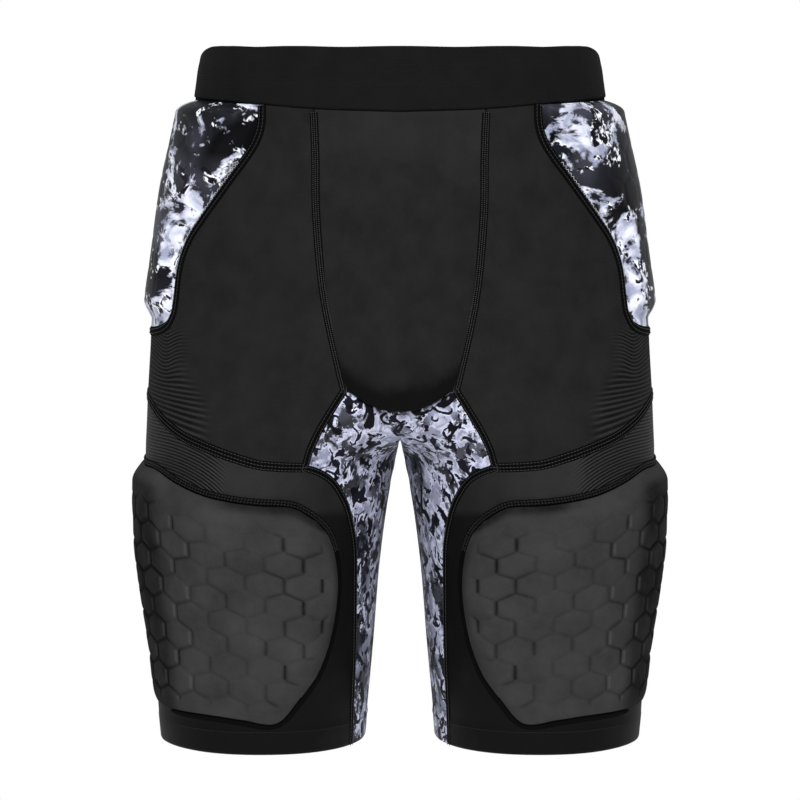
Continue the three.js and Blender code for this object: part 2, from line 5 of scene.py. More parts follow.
import bpy
import numpy as np
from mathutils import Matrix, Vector
from mathutils.kdtree import KDTree


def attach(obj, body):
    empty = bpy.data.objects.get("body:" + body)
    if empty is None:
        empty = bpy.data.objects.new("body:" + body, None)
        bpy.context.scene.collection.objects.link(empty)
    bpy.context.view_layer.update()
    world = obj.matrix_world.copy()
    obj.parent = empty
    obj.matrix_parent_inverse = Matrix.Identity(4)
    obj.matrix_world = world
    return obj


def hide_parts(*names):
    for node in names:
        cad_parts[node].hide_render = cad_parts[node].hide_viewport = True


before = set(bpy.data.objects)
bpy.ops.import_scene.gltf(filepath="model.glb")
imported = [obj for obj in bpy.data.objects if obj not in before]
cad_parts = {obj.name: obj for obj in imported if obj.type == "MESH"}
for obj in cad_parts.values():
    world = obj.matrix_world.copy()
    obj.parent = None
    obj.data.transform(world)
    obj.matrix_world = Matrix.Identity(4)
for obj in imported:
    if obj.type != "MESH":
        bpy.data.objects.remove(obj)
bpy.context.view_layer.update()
print("frame loaded")


def linkObject(name, data):
    piece = bpy.data.objects.new(name, data)
    bpy.context.scene.collection.objects.link(piece)
    return piece


# Camera: level with the waist's top edge, looking slightly down
view = {"distance": 2.2, "lens": 146.4, "aimDrop": 0.2397}
camera = linkObject("camera", bpy.data.cameras.new("camera"))
camera.data.lens = view["lens"]
camera.location = (0, -view["distance"], 0)
aim = Vector((0, 0, -view["aimDrop"])) - camera.location
camera.rotation_euler = aim.to_track_quat("-Z", "Y").to_euler()
bpy.context.scene.camera = camera

# Body: the same sizes and tables as the solids, and the pinch that closes the gap between the legs
body = {
    "totalLength": 470,
    "rise": 272,
    "waistWidth": 266,
    "waistDepth": 202,
    "hipWidth": 342,
    "hipFront": 108,
    "hipBack": 132,
    "hemOuterReach": 162,
    "hemDepth": 145,
    "legGap": 48,
    "roundness": 2.2,
    "crotchRounding": 34,
    "pinch": 2.05,
    "pinchDrop": 12,
    "pinchSpread": 8,
    "bandHeightFront": 42,
    "bandHeightSide": 35,
    "sideSeamTurn": 97,
}
sizeAt = {  # outer, inner, front, back of each place
    "waist": (body["waistWidth"] / 2, body["waistWidth"] / 2, body["waistDepth"] / 2, body["waistDepth"] / 2),
    "hips": (body["hipWidth"] / 2, body["hipWidth"] / 2, body["hipFront"], body["hipBack"]),
    "thigh": (body["hipWidth"] / 2, body["legGap"] / 2, body["hipFront"], body["hipBack"]),
    "hem": (body["hemOuterReach"], body["legGap"] / 2, body["hemDepth"] / 2, body["hemDepth"] / 2),
}
sections = [  # place, level, then shares of outer, inner, front and back
    ("waist", 0.0, 1, -1, 0.99, 1.01),
    ("waist", 0.14, 1.04, -1.04, 1, 1.05),
    ("waist", 0.21, 1.07, -1.07, 1, 1.09),
    ("hips", 0.41, 0.91, -0.91, 0.98, 0.94),
    ("hips", 0.62, 0.974, -0.97, 1, 1),
    ("hips", 0.76, 0.99, -0.75, 1, 0.98),
    ("hips", 0.86, 1, -0.456, 0.96, 0.925),
    ("hips", 0.93, 1.005, -0.21, 0.925, 0.855),
    ("thigh", 1.0, 1.01, 0, 0.89, 0.795),
    ("thigh", 1.15, 1.01, 0.3, 0.86, 0.73),
    ("hem", 1.4, 1.04, 0.58, 1.165, 1.21),
    ("hem", 1.67, 1.02, 0.76, 1.08, 1.11),
    ("hem", 1.88, 1.012, 0.92, 1.03, 1.04),
    ("hem", 2.0, 1, 1, 1, 1.01),
]
# Seams that run down: level, and the share of the way from the middle or inner leg to the side
flySeam = [(0.146, 0.403), (0.27, 0.373), (0.38, 0.353), (0.56, 0.307), (0.68, 0.265), (0.815, 0.212)]
gussetSeam = [(0.815, 0.212), (0.87, 0.265), (0.916, 0.307), (0.964, 0.341), (1.01, 0.36)]
gussetBackSeam = [(0.78, 0), (0.84, 0.1), (0.9, 0.2), (0.96, 0.29), (1.01, 0.36)]
innerLegSeam = [
    (1.01, 0.36), (1.023, 0.309), (1.05, 0.252), (1.093, 0.207),
    (1.19, 0.152), (1.325, 0.113), (1.66, 0.086), (2.0, 0.067),
]
hipSeam = [
    (0.13, 0.65), (0.19, 0.64), (0.237, 0.659), (0.326, 0.747), (0.416, 0.832),
    (0.466, 0.872), (0.53, 0.893), (0.64, 0.892), (0.672, 0.91),
]
padInnerEdge = [
    (1.19, 0.29), (1.25, 0.232), (1.36, 0.192), (1.47, 0.182), (1.61, 0.203), (1.725, 0.251), (1.8, 0.315),
]
# Seams that run round: turn or share, and level
flyBottom = [(0, 0.868), (0.27, 0.864), (0.54, 0.852), (0.78, 0.835), (1, 0.815)]
bandBottom = [(0, 0), (22, 0.25), (40, 0.62), (77, 1), (110, 1), (180, 0.8)]
hipPanelBottom = [(63, 0.672), (69, 0.69), (79, 0.701), (90, 0.705)]
legSeam = [
    (-15, 1.01), (0, 1.003), (15, 0.982), (30, 0.96), (44, 0.939), (60, 0.906),
    (76, 0.872), (95, 0.858), (125, 0.885), (160, 0.955), (195, 1.01),
]
padTop = [
    (-22, 1.19), (-12, 1.147), (1, 1.138), (14, 1.126), (26, 1.11),
    (43, 1.075), (58, 1.045), (75, 1.046), (105, 1.052), (122, 1.09),
]
padBottom = [
    (-19, 1.8), (-10, 1.875), (-4, 1.89), (7, 1.875), (27, 1.863), (60, 1.864), (105, 1.86), (122, 1.8),
]
padBackTurn = 122


def mix(a, b, t):
    return a + (b - a) * t


def ease(low, high, value):
    t = np.clip((value - low) / (high - low), 0, 1)
    return t * t * (3 - 2 * t)


def roll(t):
    # A quarter round, from 0 at an edge to 1
    return np.sqrt(np.maximum(0, 1 - (1 - np.clip(t, 0, 1)) ** 2))


def unit(vectors):
    return vectors / np.maximum(np.linalg.norm(vectors, axis=-1, keepdims=True), 1e-9)


def power(value, exponent):
    return np.sign(value) * np.abs(value) ** exponent


def readTable(table, at):
    # Smooth reading between the rows of a table of (key, value)
    keys, values = np.array(table, float).T
    at = np.asarray(at, float)
    i = np.searchsorted(keys[1:-1], at, side="left")
    before = np.maximum(np.arange(len(keys)) - 1, 0)
    after = np.minimum(np.arange(len(keys)) + 1, len(keys) - 1)
    slope = (values[after] - values[before]) / (keys[after] - keys[before])
    span = keys[i + 1] - keys[i]
    u = np.clip((at - keys[i]) / span, 0, 1)
    keep = 2 * u**3 - 3 * u**2
    bend = slope[i] * (u**3 - 2 * u**2 + u) + slope[i + 1] * (u**3 - u**2)
    return values[i] * (1 + keep) - values[i + 1] * keep + span * bend


def zOf(level):
    # Level 1 is the crotch and level 2 the hem
    level = np.asarray(level)
    lower = -body["rise"] - (level - 1) * (body["totalLength"] - body["rise"])
    return np.where(level <= 1, -level * body["rise"], lower)


def levelOf(z):
    drop = -np.asarray(z, float)
    lower = 1 + (drop - body["rise"]) / (body["totalLength"] - body["rise"])
    return np.where(drop <= body["rise"], drop / body["rise"], lower)


columns = {"outer": [], "inner": [], "front": [], "back": []}
for place, level, *shares in sections:
    for name, share, size in zip(columns, shares, sizeAt[place]):
        columns[name].append((-float(zOf(level)), share * size))


def sectionAt(z):
    z = np.asarray(z, float)
    s = {name: readTable(table, -z) for name, table in columns.items()}
    s["inner"] = np.where(-z < body["rise"], np.minimum(0, s["inner"]), np.maximum(0, s["inner"]))
    s["middle"] = (s["outer"] + s["inner"]) / 2
    s["half"] = (s["outer"] - s["inner"]) / 2
    return s


def pointAt(turn, z):
    # Place on the skin of the wearer's left half; the crease between the halves is rounded
    s = sectionAt(z)
    roundness = body["roundness"]
    lean = power(np.sin(np.radians(turn)), 2 / roundness)
    x = s["middle"] + s["half"] * lean
    # Just below the crotch the inner legs come closer together, so the gap ends in a narrow point
    below = -np.asarray(z, float) - body["rise"]
    pinch = body["pinch"] * np.exp(-(((below - body["pinchDrop"]) / body["pinchSpread"]) ** 2))
    x = x - pinch * ease(0, 4, below) * np.clip(-lean, 0, 1) ** 2
    radius = np.minimum(body["crotchRounding"], -0.8 * s["inner"])
    softened = (x * x + radius * radius) / (2 * np.where(radius > 0, radius, 1))
    full = np.maximum(0, 1 - np.abs((softened - s["middle"]) / s["half"]) ** roundness) ** (1 / roundness)
    share = np.where(np.abs(x) >= radius, np.abs(np.cos(np.radians(turn))) ** (2 / roundness), full)
    facing = np.where(np.cos(np.radians(turn)) >= 0, -s["front"], s["back"])
    return np.stack([x, facing * share, np.broadcast_to(z, np.shape(x))], -1)


def skin(turn, z, step=1.5):
    turn, z = np.broadcast_arrays(np.asarray(turn, float), np.asarray(z, float))
    around = pointAt(turn + step, z) - pointAt(turn - step, z)
    down = pointAt(turn, z - step) - pointAt(turn, z + step)
    return {"turn": turn, "z": z, "place": pointAt(turn, z), "normal": unit(np.cross(down, around))}


def turnAt(across, z):
    s = sectionAt(z)
    low = np.maximum(0, s["inner"])
    x = low + across * (s["outer"] - low)
    share = np.clip((x - s["middle"]) / s["half"], -1, 1)
    return np.degrees(np.arcsin(power(share, body["roundness"] / 2)))


def seamTurn(table):
    return lambda z: turnAt(readTable(table, levelOf(z)), z)


def middleTurn(z):
    return turnAt(0, z)


def backOf(turnOfZ):
    return lambda z: 180 - turnOfZ(z)


def roundSeam(table):
    return lambda turn: zOf(readTable(table, turn))


def fixed(value):
    return lambda t: value + 0 * np.asarray(t, float)


def bandBottomZ(turn):
    return -mix(body["bandHeightFront"], body["bandHeightSide"], readTable(bandBottom, turn))


def hipBottomZ(turn):
    turn = np.asarray(turn, float)
    return roundSeam(hipPanelBottom)(np.where(turn <= 90, turn, 180 - turn))


hipCorner = hipSeam[-1][0]
tipLevel = legSeam[0][1]
flyCorner = flySeam[-1][0]
backTop = gussetBackSeam[0][0]
hipCornerTurn = float(seamTurn(hipSeam)(zOf(hipCorner)))
hipTopTurn = float(seamTurn(hipSeam)(-body["bandHeightSide"]))
flyTopTurn = float(seamTurn(flySeam)(-body["bandHeightFront"]))
flyCornerTurn = float(seamTurn(flySeam)(zOf(flyCorner)))
flyFootTurn = float(middleTurn(zOf(flyBottom[0][1])))


def flyBottomZ(turn):
    share = np.clip((turn - flyFootTurn) / (flyCornerTurn - flyFootTurn), 0, 1)
    return zOf(readTable(flyBottom, share))


def crotchTopZ(turn):
    # Height at which the middle line has this turn
    front = np.where(turn < -90, -180 - turn, turn)
    high, low = np.zeros_like(front), np.full_like(front, zOf(1))
    for _ in range(40):
        half = (high + low) / 2
        above = middleTurn(half) > front
        high, low = np.where(above, half, high), np.where(above, low, half)
    return (high + low) / 2


# Patches of skin stretched between four edges, and sheets that join them
def evenly(count):
    return np.linspace(0, 1, count + 1)


def denseEnds(count, extra=3):
    # Even steps with finer ones by both ends, where the cloth rolls over its edge
    fine = np.arange(1, extra + 1) / (extra + 1) / count
    return np.unique(np.concatenate([evenly(count), fine, 1 - fine]))


def patch(left, right, top, bottom, across, down):
    # Left and right read a turn at each height, top and bottom a height at each turn
    def downEdge(turnOfZ, start, end, v):
        z = mix(start, end, v)
        return turnOfZ(z), z

    def roundEdge(zOfTurn, start, end, u):
        turn = mix(start, end, u)
        return turn, zOfTurn(turn)

    u, v = across[None, :], down[:, None]
    sides = [downEdge(*edge, v) for edge in (left, right)]
    ends = [roundEdge(*edge, u) for edge in (top, bottom)]
    corners = [roundEdge(*edge, np.float64(share)) for edge in (top, bottom) for share in (0, 1)]

    def blend(k):
        ring = mix(sides[0][k], sides[1][k], u) + mix(ends[0][k], ends[1][k], v)
        return ring - mix(mix(corners[0][k], corners[1][k], u), mix(corners[2][k], corners[3][k], u), v)

    grid = skin(blend(0), blend(1))
    shape = grid["turn"].shape
    grid.update(u=np.broadcast_to(u, shape), v=np.broadcast_to(v, shape), hand=np.ones(shape))
    return grid


def handed(grid, hand):
    # A grid or run of the left half as it is, or mirrored to the right
    flip = np.array([hand, 1, 1])
    side = np.full(grid["place"].shape[:-1], float(hand))
    return {**grid, "place": grid["place"] * flip, "normal": grid["normal"] * flip, "hand": side}


def distanceFrom(points, edges, pieces=8):
    # Distance of each point from the nearest of some short edges
    samples = np.concatenate([mix(edges[:, 0], edges[:, 1], k / pieces) for k in range(pieces)])
    tree = KDTree(len(samples))
    for i, sample in enumerate(samples.tolist()):
        tree.insert(sample, i)
    tree.balance()
    return np.array([tree.find(p)[2] for p in points.tolist()])


def joinSheet(grids, inset=0.15):
    # One sheet from grids that share edges, drawn in a little along its border
    places, normals, quads, values, start = [], [], [], {}, 0
    for grid in grids:
        rows, count = grid["turn"].shape
        place = grid["place"].reshape(-1, 3).copy()
        normal = grid["normal"].reshape(-1, 3).copy()
        middle = np.abs(place[:, 0]) < 0.02
        place[middle, 0] = 0
        normal[middle, 0] = 0
        index = np.arange(rows * count).reshape(rows, count)
        quad = np.stack([index[:-1, :-1], index[1:, :-1], index[1:, 1:], index[:-1, 1:]], -1).reshape(-1, 4)
        facing = np.cross(place[quad[:, 1]] - place[quad[:, 0]], place[quad[:, 3]] - place[quad[:, 0]])
        if np.einsum("ij,ij->i", facing, normal[quad[:, 0]]).sum() < 0:
            quad = quad[:, ::-1]
        places.append(place)
        normals.append(unit(normal))
        quads.append(quad + start)
        start += rows * count
        for name in set(grid) - {"place", "normal"}:
            values.setdefault(name, []).append(np.asarray(grid[name], float).ravel())
    place = np.concatenate(places)
    keys = np.round(place * 50).astype(np.int64)
    _, first, whole = np.unique(keys, axis=0, return_index=True, return_inverse=True)
    faces = []
    for quad in whole.ravel()[np.concatenate(quads)].tolist():
        ring = [p for i, p in enumerate(quad) if p != quad[i - 1]]
        if len(ring) > 2:
            faces.append(ring)
    sheet = {name: np.concatenate(parts)[first] for name, parts in values.items()}
    sheet.update(place=place[first], normal=np.concatenate(normals)[first], faces=faces)
    used = {(f[i - 1], f[i]) for f in faces for i in range(len(f))}
    border = np.array([edge for edge in used if edge[::-1] not in used])
    border = border[np.lexsort((border[:, 1], border[:, 0]))]
    edge = unit(sheet["place"][border[:, 1]] - sheet["place"][border[:, 0]])
    pull = np.zeros_like(sheet["place"])
    share = np.zeros(len(pull))
    for end in (0, 1):
        np.add.at(pull, border[:, end], unit(np.cross(sheet["normal"][border[:, end]], edge)))
        np.add.at(share, border[:, end], 1)
    mitre = np.maximum(0.5, (pull**2).sum(1) / np.maximum(share, 1))
    sheet["place"] = sheet["place"] + pull * (inset / mitre)[:, None]
    sheet["border"] = border
    sheet["inside"] = distanceFrom(sheet["place"], sheet["place"][border])
    return sheet


def linkMesh(name, vertices, faces, values=None, uv=None, sharpAngle=50):
    mesh = bpy.data.meshes.new(name)
    mesh.from_pydata((np.asarray(vertices) * 0.001).tolist(), [], faces)
    for key, value in (values or {}).items():
        mesh.attributes.new(key, "FLOAT", "POINT").data.foreach_set("value", np.asarray(value, np.float32))
    if uv is not None:
        corners = np.empty(len(mesh.loops), np.int32)
        mesh.loops.foreach_get("vertex_index", corners)
        layer = mesh.uv_layers.new(name="cloth")
        layer.uv.foreach_set("vector", np.asarray(uv, np.float32)[corners].ravel())
    mesh.shade_smooth()
    mesh.set_sharp_from_angle(angle=math.radians(sharpAngle))
    return linkObject(name, mesh)


def closeSheet(name, sheet, lift, wall, attributes=(), radius=90):
    # Two faces and a rim; cloth coordinates are the run round the body and the height
    count = len(sheet["place"])
    outer = sheet["place"] + sheet["normal"] * np.reshape(lift, (-1, 1))
    inner = outer - sheet["normal"] * np.reshape(np.broadcast_to(wall, count), (-1, 1))
    faces = sheet["faces"] + [[p + count for p in reversed(face)] for face in sheet["faces"]]
    faces += [[a, count + a, count + b, b] for a, b in sheet["border"].tolist()]
    values = {key: np.tile(sheet[key], 2) for key in attributes}
    along = np.radians(sheet["turn"]) * radius * sheet["hand"]
    uv = np.tile(np.stack([along, sheet["place"][:, 2]], 1), (2, 1)) * 0.001
    return linkMesh(name, np.concatenate([outer, inner]), faces, values, uv)


# Materials
def newMaterial(name, colour, roughness, shine):
    material = bpy.data.materials.new(name)
    material.use_nodes = True
    shader = material.node_tree.nodes["Principled BSDF"]
    shader.inputs["Base Color"].default_value = (*colour, 1)
    for key, value in {"Roughness": roughness, **shine}.items():
        shader.inputs[key].default_value = value
    return material, material.node_tree, shader


def addNode(tree, kind, inputs=None, **settings):
    node = tree.nodes.new(kind)
    for key, value in settings.items():
        setattr(node, key, value)
    for key, value in (inputs or {}).items():
        if isinstance(value, bpy.types.NodeSocket):
            tree.links.new(value, node.inputs[key])
        else:
            node.inputs[key].default_value = value
    return node


def calc(tree, operation, *values):
    return addNode(tree, "ShaderNodeMath", dict(enumerate(values)), operation=operation).outputs[0]


def blendColour(tree, factor, a, b):
    node = addNode(tree, "ShaderNodeMix", data_type="RGBA")
    sockets = {"Factor_Float": factor, "A_Color": a, "B_Color": b}
    for socket in node.inputs:
        value = sockets.get(socket.identifier)
        if isinstance(value, bpy.types.NodeSocket):
            tree.links.new(value, socket)
        elif value is not None:
            socket.default_value = value if socket.identifier == "Factor_Float" else (*value, 1)
    return next(s for s in node.outputs if s.identifier == "Result_Color")


def colourBy(tree, shader, lightness, dark, light):
    tree.links.new(blendColour(tree, lightness, dark, light), shader.inputs["Base Color"])


def ramp(tree, factor, stops):
    node = addNode(tree, "ShaderNodeValToRGB", {"Fac": factor})
    elements = node.color_ramp.elements
    for i, (position, colour) in enumerate(stops):
        element = elements[i] if i < 2 else elements.new(position)
        element.position = position
        element.color = (*colour, 1) if hasattr(colour, "__len__") else (colour, colour, colour, 1)
    return node.outputs["Color"]


def mask(tree, value, low, width=0.02):
    return ramp(tree, value, [(low, 0.0), (low + width, 1.0)])


def objectPlace(tree):
    return addNode(tree, "ShaderNodeTexCoord").outputs["Object"]


def clothRuns(tree):
    # Runs round the body and down it, in metres
    cloth = addNode(tree, "ShaderNodeSeparateXYZ", {0: addNode(tree, "ShaderNodeTexCoord").outputs["UV"]})
    return cloth.outputs["X"], cloth.outputs["Y"]


def mapped(tree, vector, **moves):
    return addNode(tree, "ShaderNodeMapping", {"Vector": vector, **moves}).outputs[0]


def noise(tree, vector, scale, detail=2.0, roughness=0.5, distortion=0.0):
    values = {"Scale": scale, "Detail": detail, "Roughness": roughness, "Distortion": distortion}
    return addNode(tree, "ShaderNodeTexNoise", {"Vector": vector, **values}).outputs["Fac"]


def addBump(tree, shader, height, distance, before=None):
    inputs = {"Height": height, "Distance": distance}
    if before is not None:
        inputs["Normal"] = before
    normal = addNode(tree, "ShaderNodeBump", inputs).outputs["Normal"]
    tree.links.new(normal, shader.inputs["Normal"])
    return normal


def attribute(tree, name):
    return addNode(tree, "ShaderNodeAttribute", attribute_name=name).outputs["Fac"]


def waves(tree, value, pitch):
    # From 0 to 1 and back in each pitch
    sine = calc(tree, "SINE", calc(tree, "MULTIPLY", value, 2 * math.pi / pitch))
    return calc(tree, "MULTIPLY_ADD", sine, 0.5, 0.5)


def knitMaterial(name, finish):
    material, tree, shader = newMaterial(name, finish["dark"], finish["roughness"], finish["shine"])
    place = objectPlace(tree)
    across, down = clothRuns(tree)
    loops = calc(tree, "MULTIPLY", waves(tree, across, finish["wale"]), waves(tree, down, finish["course"]))
    heather = noise(tree, place, 1400, 2, 0.7)
    ribs = calc(tree, "POWER", waves(tree, attribute(tree, "ribPhase"), finish["ribPitch"]), 1.8)
    ribbed = calc(tree, "MULTIPLY", calc(tree, "SUBTRACT", ribs, 0.34), attribute(tree, "ribs"))
    lightness = calc(tree, "MULTIPLY", heather, 0.3)
    lightness = calc(tree, "MULTIPLY_ADD", noise(tree, place, 55, 4, 0.6), 0.55, lightness)
    lightness = calc(tree, "MULTIPLY_ADD", ribbed, finish["ribLight"], lightness)
    # Each piece's own tone is added here, with painted highlights and painted shadows on the pouch and leg
    # panels
    lightness = calc(tree, "ADD", lightness, attribute(tree, "tone"))
    colourBy(tree, shader, lightness, finish["dark"], finish["light"])
    fine = addBump(tree, shader, loops, finish["loopDepth"])
    grain = addBump(tree, shader, heather, finish["grainDepth"], fine)
    addBump(tree, shader, ribbed, finish["ribDepth"], grain)
    return material


def printMaterial(name, finish):
    # Generic soft blotches in greys and lavender, with ragged pale patches over them
    material, tree, shader = newMaterial(name, (0.2, 0.2, 0.25), finish["roughness"], finish["shine"])
    place = mapped(tree, objectPlace(tree), Rotation=finish["slant"], Scale=finish["stretch"])
    moved = mapped(tree, place, Location=(3.7, 1.3, 5.1))
    scale = finish["scale"]
    clouds = noise(tree, place, scale, 1.5, 0.4, 0.5)
    patches = noise(tree, moved, scale * 1.7, 5, 0.62, 0.7)
    fringe = noise(tree, place, scale * 9, 3, 0.6, 0.4)
    shadows = noise(tree, moved, scale * 2.6, 3, 0.5, 1.2)
    ragged = calc(tree, "MULTIPLY_ADD", fringe, finish["ragged"], patches)
    ragged = calc(tree, "ADD", ragged, attribute(tree, "paleness"))
    pale = ramp(tree, shadows, [(0.38, finish["mid"]), (0.58, finish["pale"])])
    paleMask = mask(tree, ragged, finish["paleFrom"], finish["paleWidth"])
    colour = blendColour(tree, paleMask, ramp(tree, clouds, finish["ground"]), pale)
    darkMask = mask(tree, calc(tree, "MULTIPLY_ADD", fringe, 0.12, shadows), finish["darkFrom"], 0.03)
    colour = blendColour(tree, darkMask, colour, finish["dark"])
    # Zones of fine light and dark streaks, and a few black blots
    drawn = mapped(tree, moved, Rotation=(0.5, 0.4, 0.2), Scale=(1.0, 1.0, 0.3))
    streaks = mask(tree, noise(tree, drawn, finish["streaks"], 2, 0.5, 0.6), 0.5, 0.06)
    streaked = blendColour(tree, streaks, (0.004, 0.004, 0.007), finish["fleck"])
    zones = mask(tree, noise(tree, moved, scale * 2.1, 3, 0.6, 0.5), finish["fleckFrom"])
    colour = blendColour(tree, zones, colour, streaked)
    blots = mask(tree, noise(tree, place, scale * 1.9, 2, 0.45, 1.6), finish["blotFrom"])
    colourBy(tree, shader, blots, colour, (0.002, 0.002, 0.0035))
    across, down = clothRuns(tree)
    weave = calc(tree, "MULTIPLY", waves(tree, across, 0.0007), waves(tree, down, 0.0006))
    addBump(tree, shader, weave, 0.00006)
    return material


def suedeMaterial(name, finish):
    material, tree, shader = newMaterial(name, finish["light"], finish["roughness"], finish["shine"])
    place = objectPlace(tree)
    nap = noise(tree, place, 1100, 3, 0.7)
    worn = calc(tree, "MULTIPLY_ADD", noise(tree, place, 38, 4, 0.6), 0.7, calc(tree, "MULTIPLY", nap, 0.35))
    # Painted shade and painted highlights from each place darken or lighten the worn suede
    paintedLightMark = calc(tree, "MULTIPLY", attribute(tree, "groove"), finish["paintedLightAmount"])
    colourBy(tree, shader, calc(tree, "SUBTRACT", worn, paintedLightMark), finish["dark"], finish["light"])
    addBump(tree, shader, nap, finish["napDepth"])
    return material


def elasticMaterial(name, finish):
    material, tree, shader = newMaterial(name, finish["dark"], finish["roughness"], finish["shine"])
    across, down = clothRuns(tree)
    threads = waves(tree, across, finish["threadPitch"])
    weave = calc(tree, "MULTIPLY_ADD", threads, 0.5, waves(tree, down, finish["cordPitch"]))
    mottled = calc(tree, "MULTIPLY", noise(tree, objectPlace(tree), 60, 4, 0.6), 0.5)
    colourBy(tree, shader, calc(tree, "MULTIPLY_ADD", weave, 0.25, mottled), finish["dark"], finish["light"])
    addBump(tree, shader, weave, finish["depth"])
    return material


def threadMaterial(name, colour, roughness=0.5, specular=0.25):
    material, tree, shader = newMaterial(name, colour, roughness, {"Specular IOR Level": specular})
    fibres = noise(tree, objectPlace(tree), 2600, 2, 0.6)
    colourBy(tree, shader, fibres, tuple(c * 0.55 for c in colour), colour)
    addBump(tree, shader, fibres, 0.00008)
    return material


knitFinish = {
    "dark": (0.0028, 0.0028, 0.003),
    "light": (0.0222, 0.0222, 0.0228),
    "roughness": 0.8,
    "shine": {"Specular IOR Level": 0.04, "Sheen Weight": 0.012, "Sheen Roughness": 0.45},
    "wale": 0.0009,
    "course": 0.0008,
    "loopDepth": 0.00007,
    "grainDepth": 0.00006,
    "ribPitch": 2.4,
    "ribLight": 1.1,
    "ribDepth": 0.0005,
}
legFinish = {
    **knitFinish,
    "roughness": 0.42,
    "shine": {"Specular IOR Level": 0.05, "Sheen Weight": 0.005, "Sheen Roughness": 0.45},
    "ribLight": 2.5,
    "ribPitch": 2.1,
}
elasticFinish = {
    "dark": (0.003, 0.003, 0.0031),
    "light": (0.0105, 0.0105, 0.0108),
    "roughness": 0.85,
    "shine": {"Specular IOR Level": 0.04, "Sheen Weight": 0.01},
    "cordPitch": 0.0014,
    "threadPitch": 0.001,
    "depth": 0.00009,
}
hipFinish = {
    "scale": 19,
    "slant": (0.3, 0.5, 0.4),
    "stretch": (0.85, 0.85, 1.2),
    "roughness": 0.34,
    "shine": {"Specular IOR Level": 0.06, "Sheen Weight": 0.01},
    "ground": [(0.38, (0.002, 0.002, 0.003)), (0.5, (0.011, 0.0115, 0.016)), (0.64, (0.045, 0.047, 0.064))],
    "mid": (0.3, 0.32, 0.44),
    "pale": (0.78, 0.8, 0.92),
    "dark": (0.007, 0.007, 0.011),
    "ragged": 0.2,
    "paleFrom": 0.59,
    "paleWidth": 0.055,
    "darkFrom": 0.66,
    "fleck": (0.85, 0.87, 0.95),
    "fleckFrom": 0.61,
    "streaks": 340,
    "blotFrom": 0.68,
}
innerLegFinish = {
    "scale": 40,
    "slant": (0.2, -0.6, 0.3),
    "stretch": (1.0, 1.0, 0.85),
    "roughness": 0.55,
    "shine": hipFinish["shine"],
    "ground": [(0.38, (0.022, 0.023, 0.027)), (0.5, (0.06, 0.062, 0.08)), (0.64, (0.24, 0.25, 0.35))],
    "mid": (0.24, 0.25, 0.34),
    "pale": (0.62, 0.64, 0.8),
    "dark": (0.006, 0.006, 0.012),
    "ragged": 0.3,
    "paleFrom": 0.62,
    "paleWidth": 0.045,
    "darkFrom": 0.61,
    "fleck": (0.85, 0.86, 0.92),
    "fleckFrom": 0.68,
    "streaks": 420,
    "blotFrom": 0.59,
}
padFinish = {
    "dark": (0.006, 0.006, 0.0062),
    "light": (0.05, 0.05, 0.0506),
    "roughness": 0.85,
    "shine": {"Specular IOR Level": 0.02, "Sheen Weight": 0.008, "Sheen Roughness": 0.4},
    "paintedLightAmount": 0.45,
    "napDepth": 0.00012,
}
foamFinish = {
    "dark": (0.02, 0.02, 0.021),
    "light": (0.05, 0.05, 0.052),
    "roughness": 0.9,
    "shine": {"Specular IOR Level": 0.2},
    "paintedLightAmount": 0.3,
    "napDepth": 0.0003,
}
knit = knitMaterial("black_knit", knitFinish)
pouchKnit = knitMaterial("pouch_knit", {**knitFinish, "light": (0.0235, 0.0235, 0.0241)})
legKnit = knitMaterial("leg_knit", legFinish)
elastic = elasticMaterial("elastic", elasticFinish)
hipPrint = printMaterial("hip_print", hipFinish)
legPrint = printMaterial("leg_print", innerLegFinish)
suede = suedeMaterial("pad_suede", padFinish)
foam = suedeMaterial("foam", foamFinish)
blackThread = threadMaterial("black_thread", (0.025, 0.025, 0.026))
darkThread = threadMaterial("dark_thread", (0.009, 0.009, 0.0092), 0.45, 0.12)
seamTape = threadMaterial("seam_tape", (0.0022, 0.0022, 0.0023), 0.8, 0.03)
paleThread = threadMaterial("pale_thread", (0.5, 0.51, 0.56))
print("materials made")

hands = (("left", 1), ("right", -1))
knitData = ("ribPhase", "ribs", "tone")
clothPiece = {"wall": 1.8, "edgeRound": 1.6, "edgeDrop": 1.1, "stretch": (1.14, 1.04)}


def edgeRoll(sheet, width=clothPiece["edgeRound"], drop=clothPiece["edgeDrop"]):
    # How far the outer face falls towards an edge, as a quarter round
    return drop * (1 - roll(sheet["inside"] / width))


def dress(piece, material, nodes=()):
    piece.data.materials.append(material)
    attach(piece, "root")
    if nodes:
        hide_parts(*nodes)
    return piece


def makeCloth(node, sheet, lift, wall, material, slot, values=(), radius=90, stretch=clothPiece["stretch"]):
    piece = closeSheet(f"{node}_cloth", sheet, lift, wall, values, radius)
    dress(piece, material, [node])


def knitValues(grid, phase=0.0, strength=0.0, tone=0.0):
    for name, value in zip(knitData, (phase, strength, tone)):
        grid[name] = value + np.zeros(grid["turn"].shape)


# Waistband
bandPiece = {
    "wall": 2.4,
    "columns": 150,
    "rows": 14,
    "cornerRadius": 9,
    "edgeRound": 1.3,
    "wave": 0.3,
    "proud": 0.7,
    "stretch": (1.2, 1.04),
}


def bandTopZ(turn):
    # The top corners are rounded, and the edge waves a little
    x = np.abs(pointAt(turn, np.zeros_like(np.asarray(turn, float)))[..., 0])
    radius = bandPiece["cornerRadius"]
    past = np.clip(x - (body["waistWidth"] / 2 - radius), 0, radius * 0.985)
    dip = radius - np.sqrt(radius**2 - past**2)
    return -dip - bandPiece["wave"] * (1 - np.cos(np.radians(turn) * 12))


